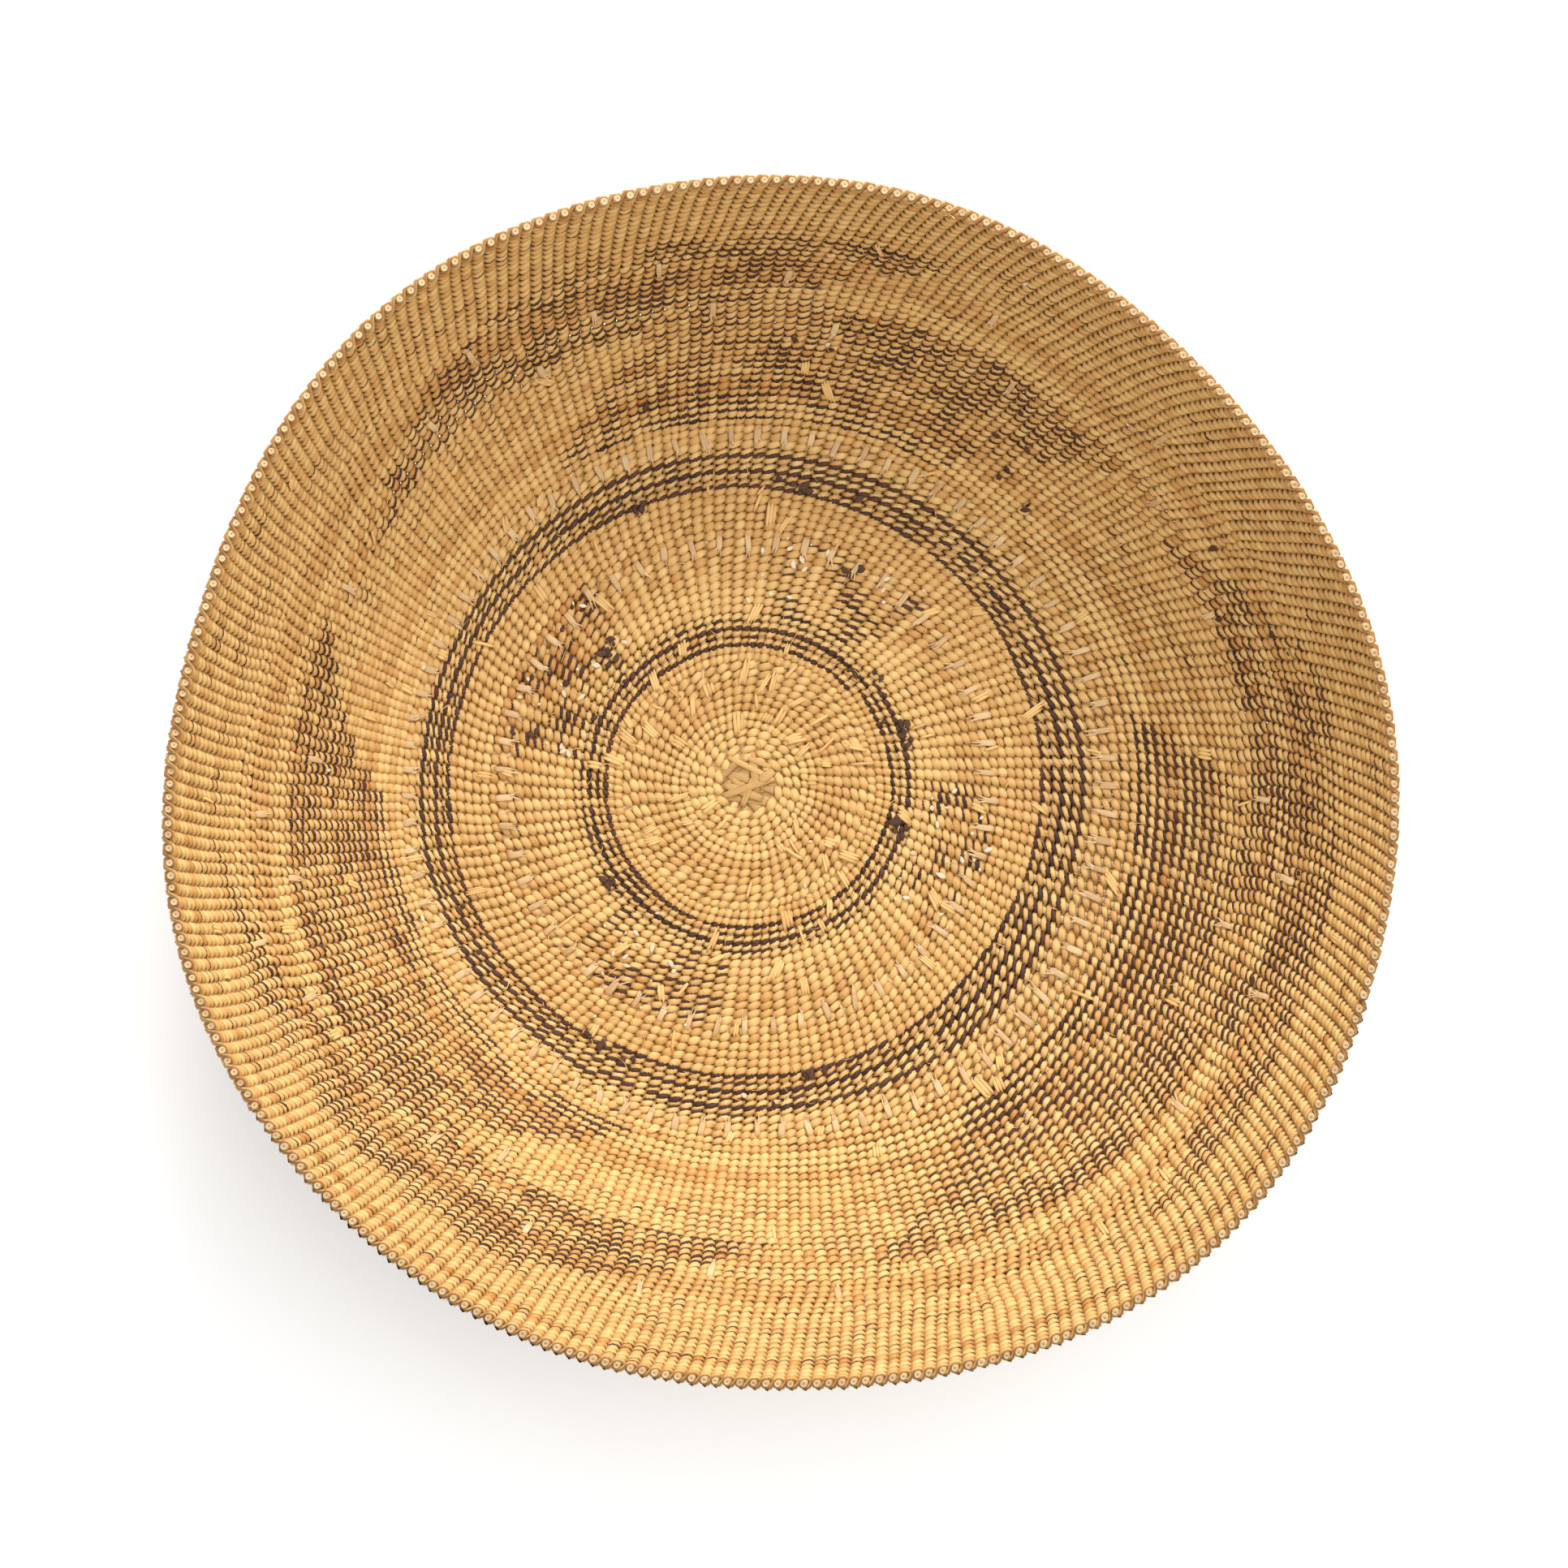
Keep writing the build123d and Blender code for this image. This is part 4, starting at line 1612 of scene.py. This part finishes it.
@dataclass(frozen=True)
class Studio:
    """Camera, lights and floor."""

    camera_at: tuple[float, float, float] = (0.0158, 0.0, 3.04)
    lens: float = 165.0
    sensor: float = 36.0
    far_clip: float = 20.0
    faced: tuple[float, float, float] = (0, 0, 0.05)
    # Name, place, size and power of each light.
    lights: tuple[tuple[str, tuple[float, float, float], float, float], ...] = (
        ("key", (0.35, 2.3, 1.25), 1.2, 60.0),
        ("top", (0.9, 0.3, 2.6), 2.4, 33.0),
    )
    world_strength: float = 0.52
    floor_reach: float = 6.0
    floor_colour: Colour = (0.9, 0.9, 0.9, 1.0)
    floor_glow: float = 0.36
    white: Colour = (1.0, 1.0, 1.0, 1.0)

    def camera(self) -> None:
        """Looks straight down into the bowl."""
        data = bpy.data.cameras.new("camera")
        data.lens = self.lens
        data.sensor_width = self.sensor
        data.clip_end = self.far_clip
        item = bpy.data.objects.new("camera", data)
        item.location = self.camera_at
        bpy.context.scene.collection.objects.link(item)
        bpy.context.scene.camera = item

    def area(self, name: str, at: Sequence[float], size: float, power: float) -> None:
        """Adds a soft square light that faces the basket.

        Args:
            name: its name.
            at: its place.
            size: length of its side.
            power: its power in watts.
        """
        data = bpy.data.lights.new(name, "AREA")
        data.shape = "SQUARE"
        data.size = size
        data.energy = power
        item = bpy.data.objects.new(name, data)
        item.location = at
        item.rotation_euler = (Vector(self.faced) - Vector(at)).to_track_quat("-Z", "Y").to_euler()
        bpy.context.scene.collection.objects.link(item)

    def floor(self) -> None:
        """Lays the floor, which glows a little."""
        mesh = bpy.data.meshes.new("floor")
        reach = self.floor_reach
        corners = [(-reach, -reach, 0), (reach, -reach, 0), (reach, reach, 0), (-reach, reach, 0)]
        mesh.from_pydata(corners, [], [(0, 1, 2, 3)])
        floor = bpy.data.objects.new("floor", mesh)
        bpy.context.scene.collection.objects.link(floor)
        shader = Shader("floor_paper")
        inputs = {"Base Color": self.floor_colour, "Roughness": 0.9}
        inputs.update({"Emission Color": self.white, "Emission Strength": self.floor_glow})
        surface = shader.node("ShaderNodeBsdfPrincipled", inputs)
        shader.node("ShaderNodeOutputMaterial", {"Surface": surface.outputs[0]})
        mesh.materials.append(shader.material)

    def build(self) -> None:
        """Sets up the floor, lights, world and camera."""
        self.floor()
        for light in self.lights:
            self.area(*light)
        world = bpy.data.worlds.new("world")
        world.use_nodes = True
        background = world.node_tree.nodes["Background"]
        background.inputs[0].default_value = self.white
        background.inputs[1].default_value = self.world_strength
        bpy.context.scene.world = world
        bpy.context.scene.view_settings.view_transform = "Standard"
        self.camera()


# ------------------------------------------------------------------------------------ main


@dataclass
class Basket:
    """Puts the pieces together and ties them to the CAD nodes they stand for."""

    form: BowlForm = field(default_factory=BowlForm)
    finishes: dict[Slot, bpy.types.Material] = field(default_factory=dict)
    sticks_low: float = 2.6 * MM
    sticks_high: float = 5.0 * MM

    def place(self, item: bpy.types.Object, slot: Slot, nodes: Iterable[str] = ()) -> None:
        """Gives a piece the finish of its slot and its body, and hides the CAD nodes it replaces.

        Args:
            item: the piece.
            slot: its material slot.
            nodes: names of the CAD nodes.
        """
        item.data.materials.clear()
        item.data.materials.append(self.finishes[slot])
        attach(item, "root")
        nodes = list(nodes)
        if nodes:
            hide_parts(*nodes)
        LOG.info("%s: %d faces, stands for %s", item.name, len(item.data.polygons), nodes)

    def build(self) -> None:
        """Builds every sub-assembly in working order."""
        self.finishes = {
            Slot.ROOT: ROOT.material(),
            Slot.SHOOTS: SHOOT.material(),
            Slot.STICKS: STICK.material(),
            Slot.DARK: DARK.material(),
            Slot.PALE: PALE.material(),
        }
        layout = WarpLayout(self.form)
        crossings = Crossings(layout, self.form.end - 2.2 * MM)
        weft = WeftStrands(crossings, Pattern(self.form, crossings))
        LOG.info("%d crossings of %d shoots", crossings.size, layout.count)
        self.weft(weft)
        self.overlay(Overlay(weft))
        shoots = Shoots(layout)
        for name in ("start", "second", "third", "fourth", "rim"):
            self.place(shoots.build(name), Slot.SHOOTS, [f"warp_shoots_{name}"])
        start = Start()
        lower = start.strips("start_strips_lower", start.bed() + start.lower, self.sticks_low)
        self.place(lower, Slot.STICKS, ["start_sticks_lower"])
        upper = start.strips("start_strips_upper", start.upper, self.sticks_high)
        self.place(upper, Slot.STICKS, ["start_sticks_upper"])
        self.litter(Litter(layout))

    def weft(self, weft: WeftStrands) -> None:
        """Builds the root weft, zone by zone; the first part of a zone stands for its nodes.

        Args:
            weft: the strands.
        """
        at = self.form.along_at
        for zone in (
            Zone("start", 0.0, 26 * MM),
            Zone("base_centre", 26 * MM, 60 * MM),
            Zone("inner_ring", 60 * MM, 73 * MM),
            Zone("base_outer", 73 * MM, 125 * MM, 2),
            Zone("outer_ring", 125 * MM, at(0.25)),
            Zone("lower_wall", at(0.25), at(1.0), 2),
            Zone("middle_wall", at(1.0), at(1.52), 3),
            Zone("upper_wall", at(1.52), at(2.0), 3),
            Zone("rim_rows", at(2.0), at(2.45)),
            Zone("rim_binding", at(2.45), self.form.end),
        ):
            nodes = [f"weft_{zone.name}_inside", f"weft_{zone.name}_outside"]
            for item in weft.build(zone):
                self.place(item, Slot.ROOT, nodes)
                nodes = []

    def overlay(self, overlay: Overlay) -> None:
        """Builds the dark and pale overlay strips, zone by zone.

        Args:
            overlay: the strips.
        """
        at = self.form.along_at
        dark = {
            "inner_ring": (26 * MM, 73.4 * MM),
            "base_motifs": (73.4 * MM, 125 * MM),
            "outer_ring": (125 * MM, 150 * MM),
            "lower_motifs": (150 * MM, 208 * MM),
            "upper_motifs": (208 * MM, 246 * MM),
            "rim_line": (246 * MM, at(2.0)),
            "rim_blocks": (at(2.0), self.form.end),
        }
        pale = {
            "base_inner": (73 * MM, 80 * MM),
            "base_ground": (80 * MM, 108 * MM),
            "base_outer": (108 * MM, 125 * MM),
            "below_motifs": (at(0.25), at(0.55)),
            "lower_ground": (at(0.55), at(1.14)),
            "between_motifs": (at(1.14), at(1.2)),
            "upper_ground": (at(1.2), at(1.52)),
            "above_motifs": (at(1.52), at(1.78)),
            "rim_ground": (at(1.78), at(2.45)),
        }
        for kind, slot, zones in (("dark", Slot.DARK, dark), ("pale", Slot.PALE, pale)):
            for name, (start, end) in zones.items():
                piece = overlay.build(f"{kind}_{name}", start, end, kind == "dark")
                self.place(piece, slot, [f"{kind}_overlay_{name}"])

    def litter(self, litter: Litter) -> None:
        """Builds what is caught in the weave.

        Args:
            litter: the scatter.
        """
        self.place(litter.splints(), Slot.ROOT)
        self.place(litter.fibres(), Slot.ROOT)
        self.place(litter.rim_fray(), Slot.ROOT)
        base = ((50, 90, 76, 106), (129, 171, 76, 106), (222, 256, 76, 106), (320, 356, 76, 106))
        husks = litter.flakes("seed_husks", 90, (0.9, 2.3), base + ((0, 360, 30, 290),))
        self.place(husks, Slot.PALE)
        husks.data.materials[0] = HUSK.material()
        rings = ((0, 360, 62, 73), (0, 360, 126, 142))
        wall = ((129, 171, 76, 106), (40, 110, 165, 205), (320, 390, 210, 244))
        self.place(litter.flakes("dark_ends", 70, (1.0, 2.6), rings + wall), Slot.DARK)
        tufts = ((15, 21, 68, 73), (110, 113, 123, 127), (281, 286, 124, 128), (341, 347, 64, 70))
        tufts += ((213, 218, 69, 73), (62, 66, 99, 104), (136, 139, 77, 84))
        tufts += ((60, 84, 126, 130), (236, 250, 125, 130))
        self.place(litter.flakes("dark_tufts", 54, (1.6, 3.2), tufts), Slot.DARK)


def main() -> None:
    """Builds the basket and its studio."""
    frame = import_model()
    LOG.info("frame has %d nodes", len(frame["nodes"]))
    Basket().build()
    Studio().build()


if __name__ == "__main__":
    logging.basicConfig(level=logging.INFO, format="%(message)s")
    main()
